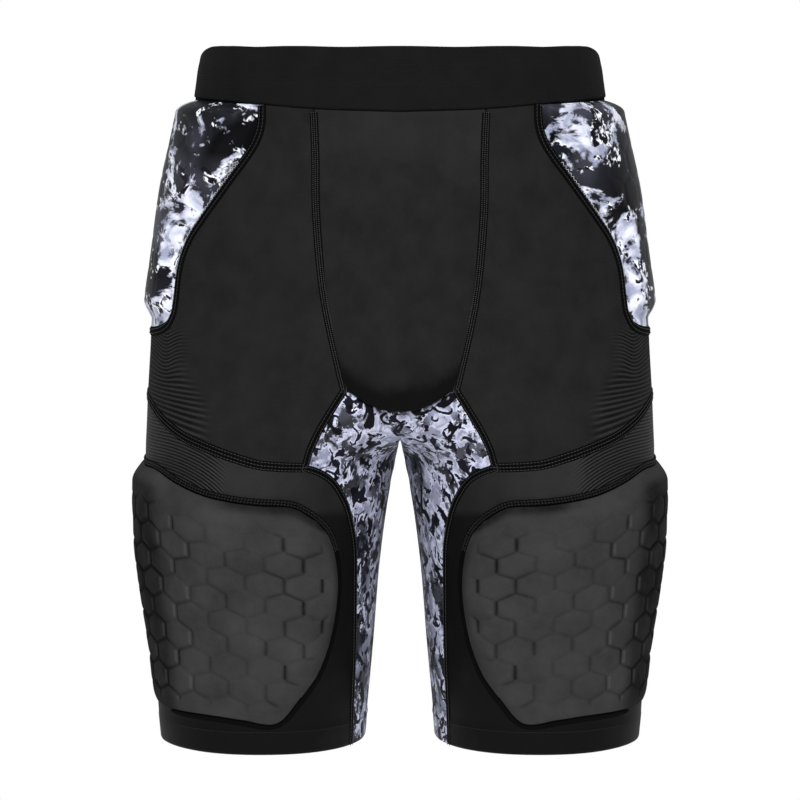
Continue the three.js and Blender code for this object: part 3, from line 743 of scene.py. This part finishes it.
def makeWaistband():
    grid = patch(
        (middleTurn, 0, bandBottomZ(0)),
        (backOf(middleTurn), 0, bandBottomZ(180)),
        (bandTopZ, 0, 180),
        (bandBottomZ, 0, 180),
        evenly(bandPiece["columns"]),
        denseEnds(bandPiece["rows"]),
    )
    sheet = joinSheet([grid, handed(grid, -1)])
    lift = bandPiece["proud"] * ease(0, 0.4, sheet["v"]) - edgeRoll(sheet, bandPiece["edgeRound"])
    makeCloth("waistband", sheet, lift, bandPiece["wall"], elastic, "elastic", (), 118, bandPiece["stretch"])


makeWaistband()

# Centre panel over the pouch
pouchPiece = {
    "columns": 40,
    "rows": 90,
    "run": 175,
    "swell": 6.5,
    "footRound": 8,
    "footShade": 24,
    "edgeDrop": 1.2,
}


def makeCentrePanel():
    grid = patch(
        (middleTurn, bandBottomZ(0), flyBottomZ(flyFootTurn)),
        (seamTurn(flySeam), bandBottomZ(flyTopTurn), zOf(flyCorner)),
        (bandBottomZ, 0, turnAt(flySeam[0][1], bandBottomZ(flyTopTurn))),
        (flyBottomZ, flyFootTurn, flyCornerTurn),
        denseEnds(pouchPiece["columns"]),
        denseEnds(pouchPiece["rows"], 4),
    )
    # Painted light on the pouch: lighter towards the top as a painted highlight, and a painted shadow
    # darkening the cloth near its rolled foot
    toFoot = (1 - grid["v"]) * pouchPiece["run"]
    shade = 0.6 * ease(pouchPiece["footShade"], 2, toFoot)
    knitValues(grid, tone=0.2 * (1 - ease(0, 0.35, grid["v"])) - 0.05 - shade)
    swell = pouchPiece["swell"] * ease(0.45, 0.9, grid["v"]) * (1 - grid["u"] ** 3)
    grid["swell"] = swell * roll(toFoot / pouchPiece["footRound"])
    sheet = joinSheet([grid, handed(grid, -1)])
    lift = sheet["swell"] - edgeRoll(sheet, drop=pouchPiece["edgeDrop"])
    makeCloth("centre_panel", sheet, lift, clothPiece["wall"], pouchKnit, "pouch_knit", knitData)


makeCentrePanel()

# Front and seat panels: an upper block beside the hip panel, a lower one below its corner
bodyPiece = {
    "rows": 70,
    "columns": 50,
    "sideColumns": 16,
    "lowRows": 50,
    "ribsFrom": -184,
    "follow": 0.8,
    "arcHeight": 5.5,
    "arcMiddle": 13,
    "arcReach": 7,
}


def frontInnerEdge(z):
    return np.where(levelOf(z) <= flyCorner, seamTurn(flySeam)(z), seamTurn(gussetSeam)(z))


def seatInnerEdge(z):
    return np.where(levelOf(z) <= backTop, middleTurn(z), seamTurn(gussetBackSeam)(z))


def blockTopZ(turn):
    return np.where(turn <= hipCornerTurn, zOf(hipCorner), hipBottomZ(turn))


def fromOutline(grid):
    # How far a place lies inside the outline that is seen from the front
    return np.maximum(sectionAt(grid["z"])["outer"] - np.abs(grid["place"][..., 0]), 0)


def addBodyRibs(grid):
    # Ribs hang in arcs below the hip panel's toe, then turn to run with the leg seam
    below = np.maximum(bodyPiece["ribsFrom"] - grid["z"], 0)
    seam = roundSeam(legSeam)
    follow = (seam(90) - seam(grid["turn"])) * bodyPiece["follow"] * ease(30, 100, below)
    aside = fromOutline(grid)
    away = (aside - bodyPiece["arcMiddle"]) / bodyPiece["arcReach"]
    arc = bodyPiece["arcHeight"] * (1 - np.exp(-away * away)) * ease(44, 18, below)
    reach = mix(32, 50, ease(22, 56, below))
    knitValues(grid, grid["z"] + follow - arc, ease(reach, reach - 15, aside) * ease(-2, 8, below))


def makeBodyPanels(name, inner, kinkLevel, toBack):
    def flip(turn):
        return 180 - turn if toBack else turn

    def wrap(edge):
        return lambda z: flip(edge(z))

    cornerZ, tipZ = zOf(hipCorner), zOf(tipLevel)
    innerTurn = inner(cornerZ)
    topFrom = 0 if toBack else flyTopTurn
    seamTo = body["sideSeamTurn"]
    shared = denseEnds(bodyPiece["columns"])
    upper = patch(
        (wrap(inner), bandBottomZ(flip(topFrom)), cornerZ),
        (wrap(seamTurn(hipSeam)), bandBottomZ(flip(hipTopTurn)), cornerZ),
        (bandBottomZ, flip(topFrom), flip(hipTopTurn)),
        (fixed(cornerZ), flip(innerTurn), flip(hipCornerTurn)),
        shared,
        denseEnds(bodyPiece["rows"]),
    )
    cornerShare = (hipCornerTurn - innerTurn) / (flip(seamTo) - innerTurn)
    kink = (kinkLevel - hipCorner) / (tipLevel - hipCorner)
    side = mix(cornerShare, 1, denseEnds(bodyPiece["sideColumns"])[1:])
    lower = patch(
        (wrap(inner), cornerZ, tipZ),
        (fixed(seamTo), hipBottomZ(seamTo), roundSeam(legSeam)(seamTo)),
        (lambda turn: blockTopZ(flip(turn)), flip(innerTurn), seamTo),
        (roundSeam(legSeam), flip(inner(tipZ)), seamTo),
        np.concatenate([shared * cornerShare, side]),
        np.unique(np.append(denseEnds(bodyPiece["lowRows"]), kink)),
    )
    addBodyRibs(upper)
    addBodyRibs(lower)
    for word, hand in hands:
        sheet = joinSheet([handed(upper, hand), handed(lower, hand)])
        makeCloth(f"{name}_{word}", sheet, -edgeRoll(sheet), clothPiece["wall"], knit, "knit", knitData)


makeBodyPanels("front_panel", frontInnerEdge, flyCorner, False)
makeBodyPanels("seat_panel", seatInnerEdge, backTop, True)
print("trunk panels made")

# Hip panels over their pads
hipPiece = {
    "thickness": 8.5,
    "topExtra": 3,
    "toeShare": 0.7,
    "run": 156,
    "inset": 9,
    "topInset": 1,
    "shoulder": 10,
    "toeShoulder": 13,
    "softness": 0.8,
    "clearance": 0.9,
    "cell": 23,
    "cellRun": 1.9,
    "cellDepth": 0.45,
    "cellWidth": 1.6,
    "ridge": 0.3,
    "ridgeWidth": 0.8,
    "coreInset": 5.5,
    "coreOverlap": 0.4,
    "columns": 110,
    "rows": 110,
    "uvRadius": 120,
    "stretch": (1.06, 1.03),
}


def scatter(number):
    # A fixed, even spread of values from 0 to 1
    return np.mod(np.sin(number * 12.9898) * 43758.5453, 1)


def hexGroove(across, down, cell, squash=1.0):
    # Field of pointed-up six-sided cells: distance from the nearest edge, a chance for that edge,
    # one for the cell, and the place in the cell
    y = down / squash
    rowHigh = cell * math.sqrt(3) / 2
    near = {key: np.full(np.shape(across), 1e9) for key in ("first", "second", "own", "other", "dx", "dy")}
    for rowShift in (-1, 0, 1):
        row = np.floor(y / rowHigh) + rowShift
        offset = np.where(row % 2 == 0, 0, cell / 2)
        for columnShift in (-1, 0, 1, 2):
            column = np.floor((across - offset) / cell) + columnShift
            dx = across - offset - column * cell
            dy = y - row * rowHigh
            reach = dx**2 + dy**2
            number = row * 37 + column * 11 + 500
            nearest = reach < near["first"]
            runnerUp = ~nearest & (reach < near["second"])
            near["second"] = np.where(nearest, near["first"], np.where(runnerUp, reach, near["second"]))
            near["other"] = np.where(nearest, near["own"], np.where(runnerUp, number, near["other"]))
            for key, value in (("first", reach), ("own", number), ("dx", dx), ("dy", dy)):
                near[key] = np.where(nearest, value, near[key])
    low = np.minimum(near["own"], near["other"])
    high = np.maximum(near["own"], near["other"])
    return {
        "edge": (near["second"] - near["first"]) / (2 * cell),
        "chance": scatter(low * 0.73 + high * 1.37),
        "cellChance": scatter(near["own"]),
        "upright": high - low == 11,
        "dx": near["dx"],
        "dy": near["dy"],
    }


def hipProfile(sheet, toSides):
    # The foam reaches the band, so the top edge only rounds it over a little
    v = sheet["v"]
    inside = np.minimum(toSides, v * hipPiece["run"] + hipPiece["inset"] - hipPiece["topInset"])
    full = hipPiece["thickness"] * mix(1, hipPiece["toeShare"], v) + hipPiece["topExtra"] * ease(0.75, 0.3, v)
    climb = (inside - hipPiece["inset"]) / mix(hipPiece["shoulder"], hipPiece["toeShoulder"], v**3)
    return full * mix(roll(climb), np.sin(np.clip(climb, 0, 1) * math.pi / 2), hipPiece["softness"])


def makeHipPanels():
    seam = seamTurn(hipSeam)
    ends = (bandBottomZ(hipTopTurn), zOf(hipCorner))
    grid = patch(
        (seam, *ends),
        (backOf(seam), *ends),
        (bandBottomZ, hipTopTurn, 180 - hipTopTurn),
        (hipBottomZ, hipCornerTurn, 180 - hipCornerTurn),
        denseEnds(hipPiece["columns"]),
        denseEnds(hipPiece["rows"]),
    )
    wall, radius = clothPiece["wall"], hipPiece["uvRadius"]
    for word, hand in hands:
        own = handed(grid, hand)
        sheet = joinSheet([own])
        free = sheet["border"][(sheet["v"][sheet["border"]] > 0.001).any(1)]
        sides = sheet["place"][free]
        toSides = distanceFrom(sheet["place"], sides)
        across = (sheet["turn"] - 90) * hipPiece["cellRun"]
        edge = hexGroove(across, sheet["place"][:, 2], hipPiece["cell"])["edge"]
        groove = np.exp(-((edge / hipPiece["cellWidth"]) ** 2)) * ease(12, 18, sheet["inside"])
        groove = groove * hipPiece["cellDepth"]
        fromShoulder = (toSides - hipPiece["inset"]) / hipPiece["ridgeWidth"]
        ridge = hipPiece["ridge"] * np.exp(-fromShoulder * fromShoulder)
        lift = hipProfile(sheet, toSides) + ridge - groove - edgeRoll(sheet)
        nearBinding = ease(34, 8, toSides) * ease(0.3, 0.55, sheet["v"])
        sideways = ease(24, 4, np.abs(sheet["turn"] - 90))
        sheet["paleness"] = -0.035 + 0.13 * nearBinding - 0.06 * sideways
        node = f"hip_panel_{word}"
        makeCloth(node, sheet, lift, wall, hipPrint, "print", ["paleness"], radius, hipPiece["stretch"])
        # The foam follows the cover's profile, a few rows inside its edges
        rows = slice(6, -6, 3)
        core = joinSheet([{key: value[rows, rows] for key, value in own.items()}], hipPiece["coreInset"])
        keep = wall + hipPiece["clearance"]
        top = np.maximum(hipProfile(core, distanceFrom(core["place"], sides)) - keep, -keep)
        solid = top + keep + hipPiece["coreOverlap"]
        pad = closeSheet(f"hip_pad_{word}_foam", core, top, solid, radius=radius)
        dress(pad, foam, [f"hip_pad_{word}"])


makeHipPanels()
print("hip panels made")

# Gusset and leg panels
legPiece = {
    "hemWall": 3.2,
    "hemTurnUp": 18,
    "hemStep": 0.3,
    "hemFlare": 1.8,
    "flareFrom": -405,
    "flareTo": -440,
    "creaseHeight": 6.5,
    "creaseWidth": 1.5,
    "ribCentre": (12, -334),
    "rows": 90,
    "columns": 150,
    "uvRadius": 75,
}
hemZ = -body["totalLength"]
tipZ = zOf(tipLevel)
innerLeg = seamTurn(innerLegSeam)
tipTurn = innerLeg(tipZ)


def hemRoll(sheet):
    # The turned-up hem stands a little proud, with a rounded fold
    inHem = ease(0.6, -0.6, sheet["place"][:, 2] - hemZ - legPiece["hemTurnUp"])
    return legPiece["hemStep"] * inHem - edgeRoll(sheet), mix(clothPiece["wall"], legPiece["hemWall"], inHem)


def makeGusset():
    end = -180 - middleTurn(zOf(backTop))
    foot = (flyFootTurn - flyCornerTurn) / (end - flyCornerTurn)
    across = np.concatenate([denseEnds(16) * foot, mix(foot, 1, denseEnds(60)[1:])])
    crotch = patch(
        (seamTurn(gussetSeam), zOf(flyCorner), tipZ),
        (lambda z: -180 - seamTurn(gussetBackSeam)(z), zOf(backTop), tipZ),
        (lambda turn: np.where(turn > flyFootTurn, flyBottomZ(turn), crotchTopZ(turn)), flyCornerTurn, end),
        (fixed(tipZ), tipTurn, -180 - tipTurn),
        across,
        denseEnds(24),
    )
    legs = patch(
        (innerLeg, tipZ, hemZ),
        (lambda z: -180 - innerLeg(z), tipZ, hemZ),
        (fixed(tipZ), tipTurn, -180 - tipTurn),
        (fixed(hemZ), innerLeg(hemZ), -180 - innerLeg(hemZ)),
        across,
        denseEnds(legPiece["rows"]),
    )
    sheet = joinSheet([handed(grid, hand) for grid in (crotch, legs) for hand in (1, -1)])
    # A narrow crease under the crotch lets the gap end in a point
    x, z = sheet["place"][:, 0], sheet["place"][:, 2]
    z += legPiece["creaseHeight"] * np.exp(-((x / legPiece["creaseWidth"]) ** 2)) * ease(-252, -272, z)
    sheet["paleness"] = mix(0.012, -0.014, ease(-280, -330, z))
    makeCloth("gusset", sheet, *hemRoll(sheet), legPrint, "inner_print", ["paleness"], legPiece["uvRadius"])


def makeLegPanels():
    grid = patch(
        (innerLeg, tipZ, hemZ),
        (backOf(innerLeg), tipZ, hemZ),
        (roundSeam(legSeam), tipTurn, 180 - tipTurn),
        (fixed(hemZ), innerLeg(hemZ), 180 - innerLeg(hemZ)),
        denseEnds(legPiece["columns"]),
        denseEnds(legPiece["rows"]),
    )
    turn, z = grid["turn"], grid["z"]
    # Cloth tone: the strip above the pad is lighter towards the front, with painted shade near the leg's
    # outline; below the pad top the cloth is darker, with a painted shadow beside the pad's inner edge
    aside = fromOutline(grid)
    overPad = ease(-2, 8, z - roundSeam(padTop)(turn))
    fromPad = (seamTurn(padInnerEdge)(z) - turn) * 1.3
    shaded = np.exp(-((np.maximum(fromPad, 0) / 12) ** 2))
    strip = 0.42 * ease(-30, 10, turn) - 0.25 * ease(14, 4, aside)
    tone = mix(-0.36 - 0.2 * shaded, strip, overPad) * ease(-80, -55, turn) - 0.05
    centreIn, centreZ = legPiece["ribCentre"]
    knitValues(grid, np.hypot(aside - centreIn, z - centreZ), overPad * ease(62, 48, aside), tone)
    flare = legPiece["hemFlare"] * ease(40, 80, turn) * ease(150, 120, turn)
    grid["flare"] = flare * ease(legPiece["flareFrom"], legPiece["flareTo"], z)
    for word, hand in hands:
        sheet = joinSheet([handed(grid, hand)])
        lift, wall = hemRoll(sheet)
        lift = lift + sheet["flare"]
        makeCloth(f"leg_panel_{word}", sheet, lift, wall, legKnit, "knit", knitData, legPiece["uvRadius"])


makeGusset()
makeLegPanels()
print("legs made")

# Thigh pads: moulded foam with a bevelled rim and six-sided cells
padSide = [(0, -1.6), (0.2, 0.8), (0.38, 3.4), (0.6, 2.6), (0.8, 1), (1, 0)]
padPiece = {
    "thickness": 9.5,
    "low": 3.6,
    "clearance": 0.8,
    "edge": 1.6,
    "edgeRound": 1.2,
    "edgeDrop": 0.9,
    "bevel": 8,
    "topBevel": 13,
    "run": 158,
    "cell": 24,
    "cellTurn": 12,
    "squash": 0.76,
    "grooveDepth": 1.2,
    "grooveWidth": 1.1,
    "pillow": 0.5,
    "cellTilt": 1.6,
    "sideShade": 0.95,
    "rimShade": 0.9,
    "edgeLight": 0.9,
    "columns": 210,
    "rows": 170,
}


def makeThighPads():
    inner = seamTurn(padInnerEdge)
    tops = [zOf(padTop[i][1]) for i in (0, -1)]
    lows = [zOf(padBottom[i][1]) for i in (0, -1)]
    grid = patch(
        (inner, tops[0], lows[0]),
        (fixed(padBackTurn), tops[1], lows[1]),
        (roundSeam(padTop), inner(tops[0]), padBackTurn),
        (roundSeam(padBottom), inner(lows[0]), padBackTurn),
        denseEnds(padPiece["columns"], 2),
        denseEnds(padPiece["rows"], 2),
    )
    steps = np.linalg.norm(np.diff(grid["place"], axis=1), axis=2)
    along = np.concatenate([np.zeros((len(steps), 1)), np.cumsum(steps, 1)], 1)
    front = [np.interp(padPiece["cellTurn"], turns, run) for turns, run in zip(grid["turn"], along)]
    grid["along"] = along - np.array(front)[:, None]
    for word, hand in hands:
        sheet = joinSheet([handed(grid, hand)], 0)
        turn, v, along, inside = (sheet[key] for key in ("turn", "v", "along", "inside"))
        full = mix(padPiece["thickness"], padPiece["low"], np.minimum(1, v * 1.05))
        full = full + ease(48, 80, turn) * readTable(padSide, v)
        bevel = mix(padPiece["topBevel"], padPiece["bevel"], ease(0, 0.22, v))
        climb = np.sin(np.clip(inside / bevel, 0, 1) * math.pi / 2)
        wall = padPiece["edge"] + (full - padPiece["edge"]) * climb
        cells = hexGroove(along + 9, (v - 0.06) * padPiece["run"], padPiece["cell"], padPiece["squash"])
        edge, chance, tilt = cells["edge"], cells["chance"], cells["cellChance"]
        fade = ease(5, 12, inside) * ease(0.08, 0.16, v) * ease(1.0, 0.93, v)
        # Upright grooves are the strongest, and all are faint at the front and strong by the side
        uneven = np.where(cells["upright"], 0.6 + 0.7 * chance, 0.12 + 0.7 * chance**1.3)
        uneven = uneven * mix(0.45, 1, ease(12, 38, np.abs(along)))
        uneven = mix(uneven, 1.25, ease(45, 80, along))
        groove = np.exp(-((edge / padPiece["grooveWidth"]) ** 2)) * fade * uneven
        slope = (tilt - 0.5) * cells["dx"] + (scatter(tilt * 91) - 0.5) * cells["dy"]
        pillow = padPiece["pillow"] + padPiece["cellTilt"] * slope / padPiece["cell"]
        # Painted shade on the side strip below the top bevel, and a painted shadow along the top rim at the
        # front
        paintedSideShade = padPiece["sideShade"] * ease(43, 56, turn) * ease(0.02, 0.07, v)
        paintedRimShadow = padPiece["rimShade"] * ease(6, 1, inside) * ease(0.1, 0.05, v) * ease(30, 5, turn)
        # Upright edges by the side get a painted highlight
        paintedEdgeHighlight = np.exp(-(((edge - 2.2) / 0.8) ** 2)) * cells["upright"] * (cells["dx"] < 0) * fade
        paintedEdgeHighlight = padPiece["edgeLight"] * paintedEdgeHighlight * ease(18, 32, along) * ease(80, 55, along)
        # The colour mark is painted shade in the grooves, plus the painted side shade and rim shadow, less
        # the painted highlights
        sheet["groove"] = groove + paintedSideShade + paintedRimShadow - paintedEdgeHighlight
        wall = wall + pillow * ease(0, 5, edge) * fade - groove * padPiece["grooveDepth"] * mix(1, 0.6, v)
        wall = wall - edgeRoll(sheet, padPiece["edgeRound"], padPiece["edgeDrop"])
        lift = padPiece["clearance"] + wall
        name = f"thigh_pad_{word}"
        solid = np.maximum(wall, 0.6)
        piece = closeSheet(f"{name}_foam", sheet, lift, solid, ["groove"], legPiece["uvRadius"])
        dress(piece, suede, [name])


makeThighPads()
print("thigh pads made")


# Seams: a flat tape along each run, with rows of stitches grown on it
def runDown(edge, fromLevel, toLevel, count):
    z = mix(zOf(fromLevel), zOf(toLevel), evenly(count))
    return skin(edge(z), z)


def runRound(edge, start, end, count):
    turn = mix(start, end, evenly(count))
    return skin(turn, edge(turn))


def joinRuns(*runs):
    place = np.concatenate([run["place"] for run in runs])
    normal = np.concatenate([run["normal"] for run in runs])
    keep = np.concatenate([[True], np.linalg.norm(np.diff(place, axis=0), axis=1) > 0.05])
    return {"place": place[keep], "normal": normal[keep]}


def sideOf(run):
    return unit(np.cross(unit(np.gradient(run["place"], axis=0)), run["normal"]))


def shifted(run, sideways, lift):
    return {"place": run["place"] + sideOf(run) * sideways + run["normal"] * lift, "normal": run["normal"]}


def part(run, start, end):
    return {key: value[start:end] for key, value in run.items()}


def soften(run, times):
    for _ in range(times):
        run["place"][1:-1] = (run["place"][:-2] + 2 * run["place"][1:-1] + run["place"][2:]) / 4
    return run


def tapeTop(share):
    return 1 - np.abs(share) ** 2.6


def tapeMesh(name, run, width, height, sink=0.5):
    spread = np.linspace(-1, 1, 9)
    profile = list(zip(spread * width / 2, height * tapeTop(spread)))
    profile += [(width * 0.45, -sink), (-width * 0.45, -sink)]
    aside = sideOf(run)
    rings = [run["place"] + aside * s + run["normal"] * h for s, h in profile]
    vertices = np.stack(rings, 1).reshape(-1, 3)
    index = np.arange(len(vertices)).reshape(-1, len(profile))
    following = np.roll(index, -1, axis=1)
    quads = np.stack([index[:-1], following[:-1], following[1:], index[1:]], -1).reshape(-1, 4)
    faces = quads.tolist() + [index[0, ::-1].tolist(), index[-1].tolist()]
    first = vertices[quads[0]]
    facing = np.cross(first[1] - first[0], first[3] - first[0])
    if facing @ (first.mean(0) - vertices[index[0]].mean(0)) < 0:
        faces = [face[::-1] for face in faces]
    return linkMesh(name, vertices, faces, sharpAngle=60)


def stitchTree():
    tree = bpy.data.node_groups.new("stitch_rows", "GeometryNodeTree")
    tree.interface.new_socket("Guides", in_out="INPUT", socket_type="NodeSocketGeometry")
    for name in ("Pitch", "Length", "Width", "Height", "Slant", "Zigzag"):
        tree.interface.new_socket(name, in_out="INPUT", socket_type="NodeSocketFloat")
    tree.interface.new_socket("Thread", in_out="INPUT", socket_type="NodeSocketMaterial")
    tree.interface.new_socket("Stitches", in_out="OUTPUT", socket_type="NodeSocketGeometry")

    def made(kind, inputs=None, **settings):
        return addNode(tree, kind, inputs, **settings).outputs[0]

    given = tree.nodes.new("NodeGroupInput").outputs
    curves = made("GeometryNodeMeshToCurve", {"Mesh": given["Guides"]})
    spaced = made("GeometryNodeResampleCurve", {"Curve": curves, "Length": given["Pitch"]}, mode="LENGTH")
    ball = made("GeometryNodeMeshUVSphere", {"Segments": 7, "Rings": 4, "Radius": 0.5})
    size = made("ShaderNodeCombineXYZ", {"X": given["Length"], "Y": given["Width"], "Z": given["Height"]})
    up = made("GeometryNodeInputNamedAttribute", {"Name": "up"}, data_type="FLOAT_VECTOR")
    # Each stitch lies along its row with its back to the cloth, and slants one way or both ways in turn
    align = "FunctionNodeAlignRotationToVector"
    along = made(align, {"Vector": made("GeometryNodeInputTangent")}, axis="X")
    upright = made(align, {"Rotation": along, "Vector": up}, axis="Z", pivot_axis="X")
    odd = calc(tree, "MODULO", made("GeometryNodeInputIndex"), 2.0)
    angle = calc(tree, "ADD", given["Slant"], calc(tree, "MULTIPLY", odd, given["Zigzag"]))
    rotation = made("FunctionNodeEulerToRotation", {0: made("ShaderNodeCombineXYZ", {"Z": angle})})
    turned = {"Rotation": upright, "Rotate By": rotation}
    final = made("FunctionNodeRotateRotation", turned, rotation_space="LOCAL")
    placed = {"Points": spaced, "Instance": ball, "Rotation": final, "Scale": size}
    real = made("GeometryNodeRealizeInstances", {"Geometry": made("GeometryNodeInstanceOnPoints", placed)})
    smooth = made("GeometryNodeSetShadeSmooth", {"Geometry": real})
    threaded = made("GeometryNodeSetMaterial", {"Geometry": smooth, "Material": given["Thread"]})
    tree.links.new(threaded, tree.nodes.new("NodeGroupOutput").inputs[0])
    return tree


stitchRows = stitchTree()


def sewStitches(name, runs, stitch, thread):
    # Guides are bare edges with the cloth's outward direction on them
    vertices, edges, up = [], [], []
    for run in runs:
        start = len(vertices)
        vertices += (run["place"] * 0.001).tolist()
        up += run["normal"].tolist()
        edges += [(start + i, start + i + 1) for i in range(len(run["place"]) - 1)]
    mesh = bpy.data.meshes.new(name)
    mesh.from_pydata(vertices, edges, [])
    directions = mesh.attributes.new("up", "FLOAT_VECTOR", "POINT")
    directions.data.foreach_set("vector", np.asarray(up, np.float32).ravel())
    piece = linkObject(name, mesh)
    modifier = piece.modifiers.new("stitches", "NODES")
    modifier.node_group = stitchRows
    wanted = {key.capitalize(): stitch[key] * 0.001 for key in ("pitch", "length", "width", "height")}
    wanted.update({key.capitalize(): math.radians(stitch.get(key, 0)) for key in ("slant", "zigzag")})
    wanted["Thread"] = thread
    for item in stitchRows.interface.items_tree:
        if item.item_type == "SOCKET" and item.in_out == "INPUT" and item.name in wanted:
            modifier[item.identifier] = wanted[item.name]
    graph = bpy.context.evaluated_depsgraph_get()
    piece.data = bpy.data.meshes.new_from_object(piece.evaluated_get(graph), depsgraph=graph)
    piece.modifiers.remove(modifier)
    piece.data.name = name
    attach(piece, "root")


running = {"pitch": 2.3, "length": 2.1, "width": 0.6, "height": 0.5}
dotted = {"pitch": 1.35, "length": 1.0, "width": 0.95, "height": 0.5}
chain = {"pitch": 2.2, "length": 2.3, "width": 1.6, "height": 1.2, "slant": 22, "zigzag": -44}
zigzag = {"pitch": 1.5, "length": 2.6, "width": 0.5, "height": 0.5, "slant": 55, "zigzag": -110}
seamKinds = {
    "fly_seam": {"width": 5.6, "height": 0.55, "stitch": dotted, "rows": (-1.5, 0, 1.5)},
    "hip_binding": {"width": 6.6, "height": 1.1, "stitch": running, "rows": (-1.4, 1.4)},
    "leg_seam": {"width": 7.0, "height": 0.6, "stitch": running, "rows": (-2.3, 0, 2.3)},
    "inner_leg_seam": {"width": 5.0, "height": 0.7, "stitch": running, "rows": (-1.3, 1.3)},
    "back_leg_seam": {"width": 5.0, "height": 0.7, "stitch": running, "rows": (-1.3, 1.3)},
    "pad_seam": {"width": 5.4, "height": 0.9},
    "band_seam": {"width": 2.6, "height": 0.1},
    "side_seam": {"width": 4.4, "height": 0.12, "stitch": running, "rows": (-1.2, 1.2)},
}
centreBack = seamKinds["side_seam"]


def sewSeam(name, run):
    kind = seamKinds[name]
    width, height = kind["width"], kind["height"]
    for word, hand in hands:
        own = handed(run, hand)
        node = f"{name}_{word}"
        tape = tapeMesh(f"{node}_tape", own, width, height)
        dress(tape, seamTape, [node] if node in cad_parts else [])
        if "rows" in kind:
            rows = [shifted(own, s, height * tapeTop(2 * s / width) + 0.05) for s in kind["rows"]]
            sewStitches(f"{node}_stitches_1", rows, kind["stitch"], blackThread)


def sewRows(pattern, run, offsets, lift, stitch, thread):
    # Rows on both hands that belong to no tape
    for word, hand in hands:
        own = handed(run, hand)
        sewStitches(pattern.format(word), [shifted(own, s, lift) for s in offsets], stitch, thread)


def sewSeams():
    sewSeam("fly_seam", runDown(seamTurn(flySeam), 0.158, flyCorner + 0.004, 160))
    z = mix(bandBottomZ(hipTopTurn), zOf(hipCorner), np.linspace(0.005, 1, 150))
    down = skin(seamTurn(hipSeam)(z), z)
    low = runRound(hipBottomZ, hipCornerTurn, 180 - hipCornerTurn, 60)
    up = skin(180 - down["turn"][::-1], z[::-1])
    binding = soften(joinRuns(down, low, up), 6)
    sewSeam("hip_binding", binding)
    besideBinding = part(shifted(binding, -2.5, 0.75), 40, 118)
    sewRows("hip_binding_{}_zigzag", besideBinding, (0,), 0, zigzag, paleThread)
    sewSeam("leg_seam", runRound(roundSeam(legSeam), tipTurn, 180 - tipTurn, 300))
    strip = runDown(seamTurn(gussetSeam), flyCorner, tipLevel, 60)
    sewSeam("inner_leg_seam", joinRuns(strip, runDown(innerLeg, tipLevel, 1.995, 160)))
    strip = runDown(backOf(seamTurn(gussetBackSeam)), backTop + 0.01, tipLevel, 60)
    sewSeam("back_leg_seam", joinRuns(strip, runDown(backOf(innerLeg), tipLevel, 1.995, 160)))

    inner = seamTurn(padInnerEdge)
    topLevel, lowLevel = padTop[0][1], padBottom[0][1]
    # The black tape follows the pad's top, inner and lower edges: a real seam, and beside and under the pad
    # also a painted shadow in the gap
    overPad = runRound(roundSeam(padTop), 118, inner(zOf(topLevel)), 220)
    besidePad = runDown(inner, topLevel + 0.01, lowLevel - 0.01, 160)
    underPad = runRound(roundSeam(padBottom), inner(zOf(lowLevel)), 118, 200)
    roundPad = soften(joinRuns(overPad, besidePad, underPad), 30)
    sewSeam("pad_seam", shifted(roundPad, 2.2, -0.1))
    overTop = part(shifted(roundPad, 2.6, 0), 0, 250)
    sewRows("pad_seam_{}_chain", overTop, (-0.9, 0.9), 0.75, chain, darkThread)
    sewSeam("band_seam", shifted(runRound(bandBottomZ, 0, 180, 260), 0, -0.5))
    sideTurn = body["sideSeamTurn"]
    sideZ = mix(hipBottomZ(sideTurn), roundSeam(legSeam)(sideTurn), evenly(40))
    sewSeam("side_seam", skin(fixed(sideTurn)(sideZ), sideZ))
    middleBack = runDown(backOf(middleTurn), 0.13, backTop, 120)
    width, height = centreBack["width"], centreBack["height"]
    dress(tapeMesh("centre_back_tape", middleBack, width, height), seamTape)
    backRows = [shifted(middleBack, s, height) for s in centreBack["rows"]]
    sewStitches("centre_back_stitches", backRows, running, blackThread)
    hemTurn = np.linspace(-179, 180, 360)
    hemRun = skin(hemTurn, fixed(hemZ + legPiece["hemTurnUp"] - 2)(hemTurn))
    sewRows("hem_stitches_{}", hemRun, (0,), legPiece["hemStep"] + 0.05, running, darkThread)


sewSeams()
print("seams sewn")

# Stage: a plain white floor well below, and soft light
stage = {"floorHalf": 1600, "floorHeight": -1200, "floorGlow": 0.45, "skyLow": 0.45, "skyHigh": 0.3}
floorShine = {"Specular IOR Level": 0.0, "Emission Strength": stage["floorGlow"]}
half, low = stage["floorHalf"], stage["floorHeight"]
corners = [(-half, -half, low), (half, -half, low), (half, half, low), (-half, half, low)]
floor = linkMesh("floor", corners, [(0, 1, 2, 3)])
floor.data.materials.append(newMaterial("floor", (1, 1, 1), 1.0, floorShine)[0])

world = bpy.data.worlds.new("studio")
bpy.context.scene.world = world
world.use_nodes = True
sky = world.node_tree
direction = addNode(sky, "ShaderNodeTexCoord").outputs["Generated"]
height = addNode(sky, "ShaderNodeSeparateXYZ", {0: direction}).outputs["Z"]
skyColour = ramp(sky, height, [(0.03, stage["skyLow"]), (0.3, stage["skyHigh"])])
# The backdrop itself is white, and gives less light than it shows
seen = addNode(sky, "ShaderNodeLightPath").outputs["Is Camera Ray"]
sky.links.new(blendColour(sky, seen, skyColour, (1, 1, 1)), sky.nodes["Background"].inputs["Color"])
bpy.context.scene.view_settings.view_transform = "Standard"


def addLight(name, kind, place, energy, **settings):
    data = bpy.data.lights.new(name, kind)
    data.energy = energy
    for key, value in settings.items():
        setattr(data, key, value)
    light = linkObject(name, data)
    light.location = place
    light.rotation_euler = (Vector((0, 0, -0.24)) - light.location).to_track_quat("-Z", "Y").to_euler()


addLight("key", "SUN", (0, -2.0, 1.5), 3.6, angle=math.radians(22))
addLight("front", "AREA", (0, -2.6, 0.4), 9, size=1.0)

print("shorts finished")
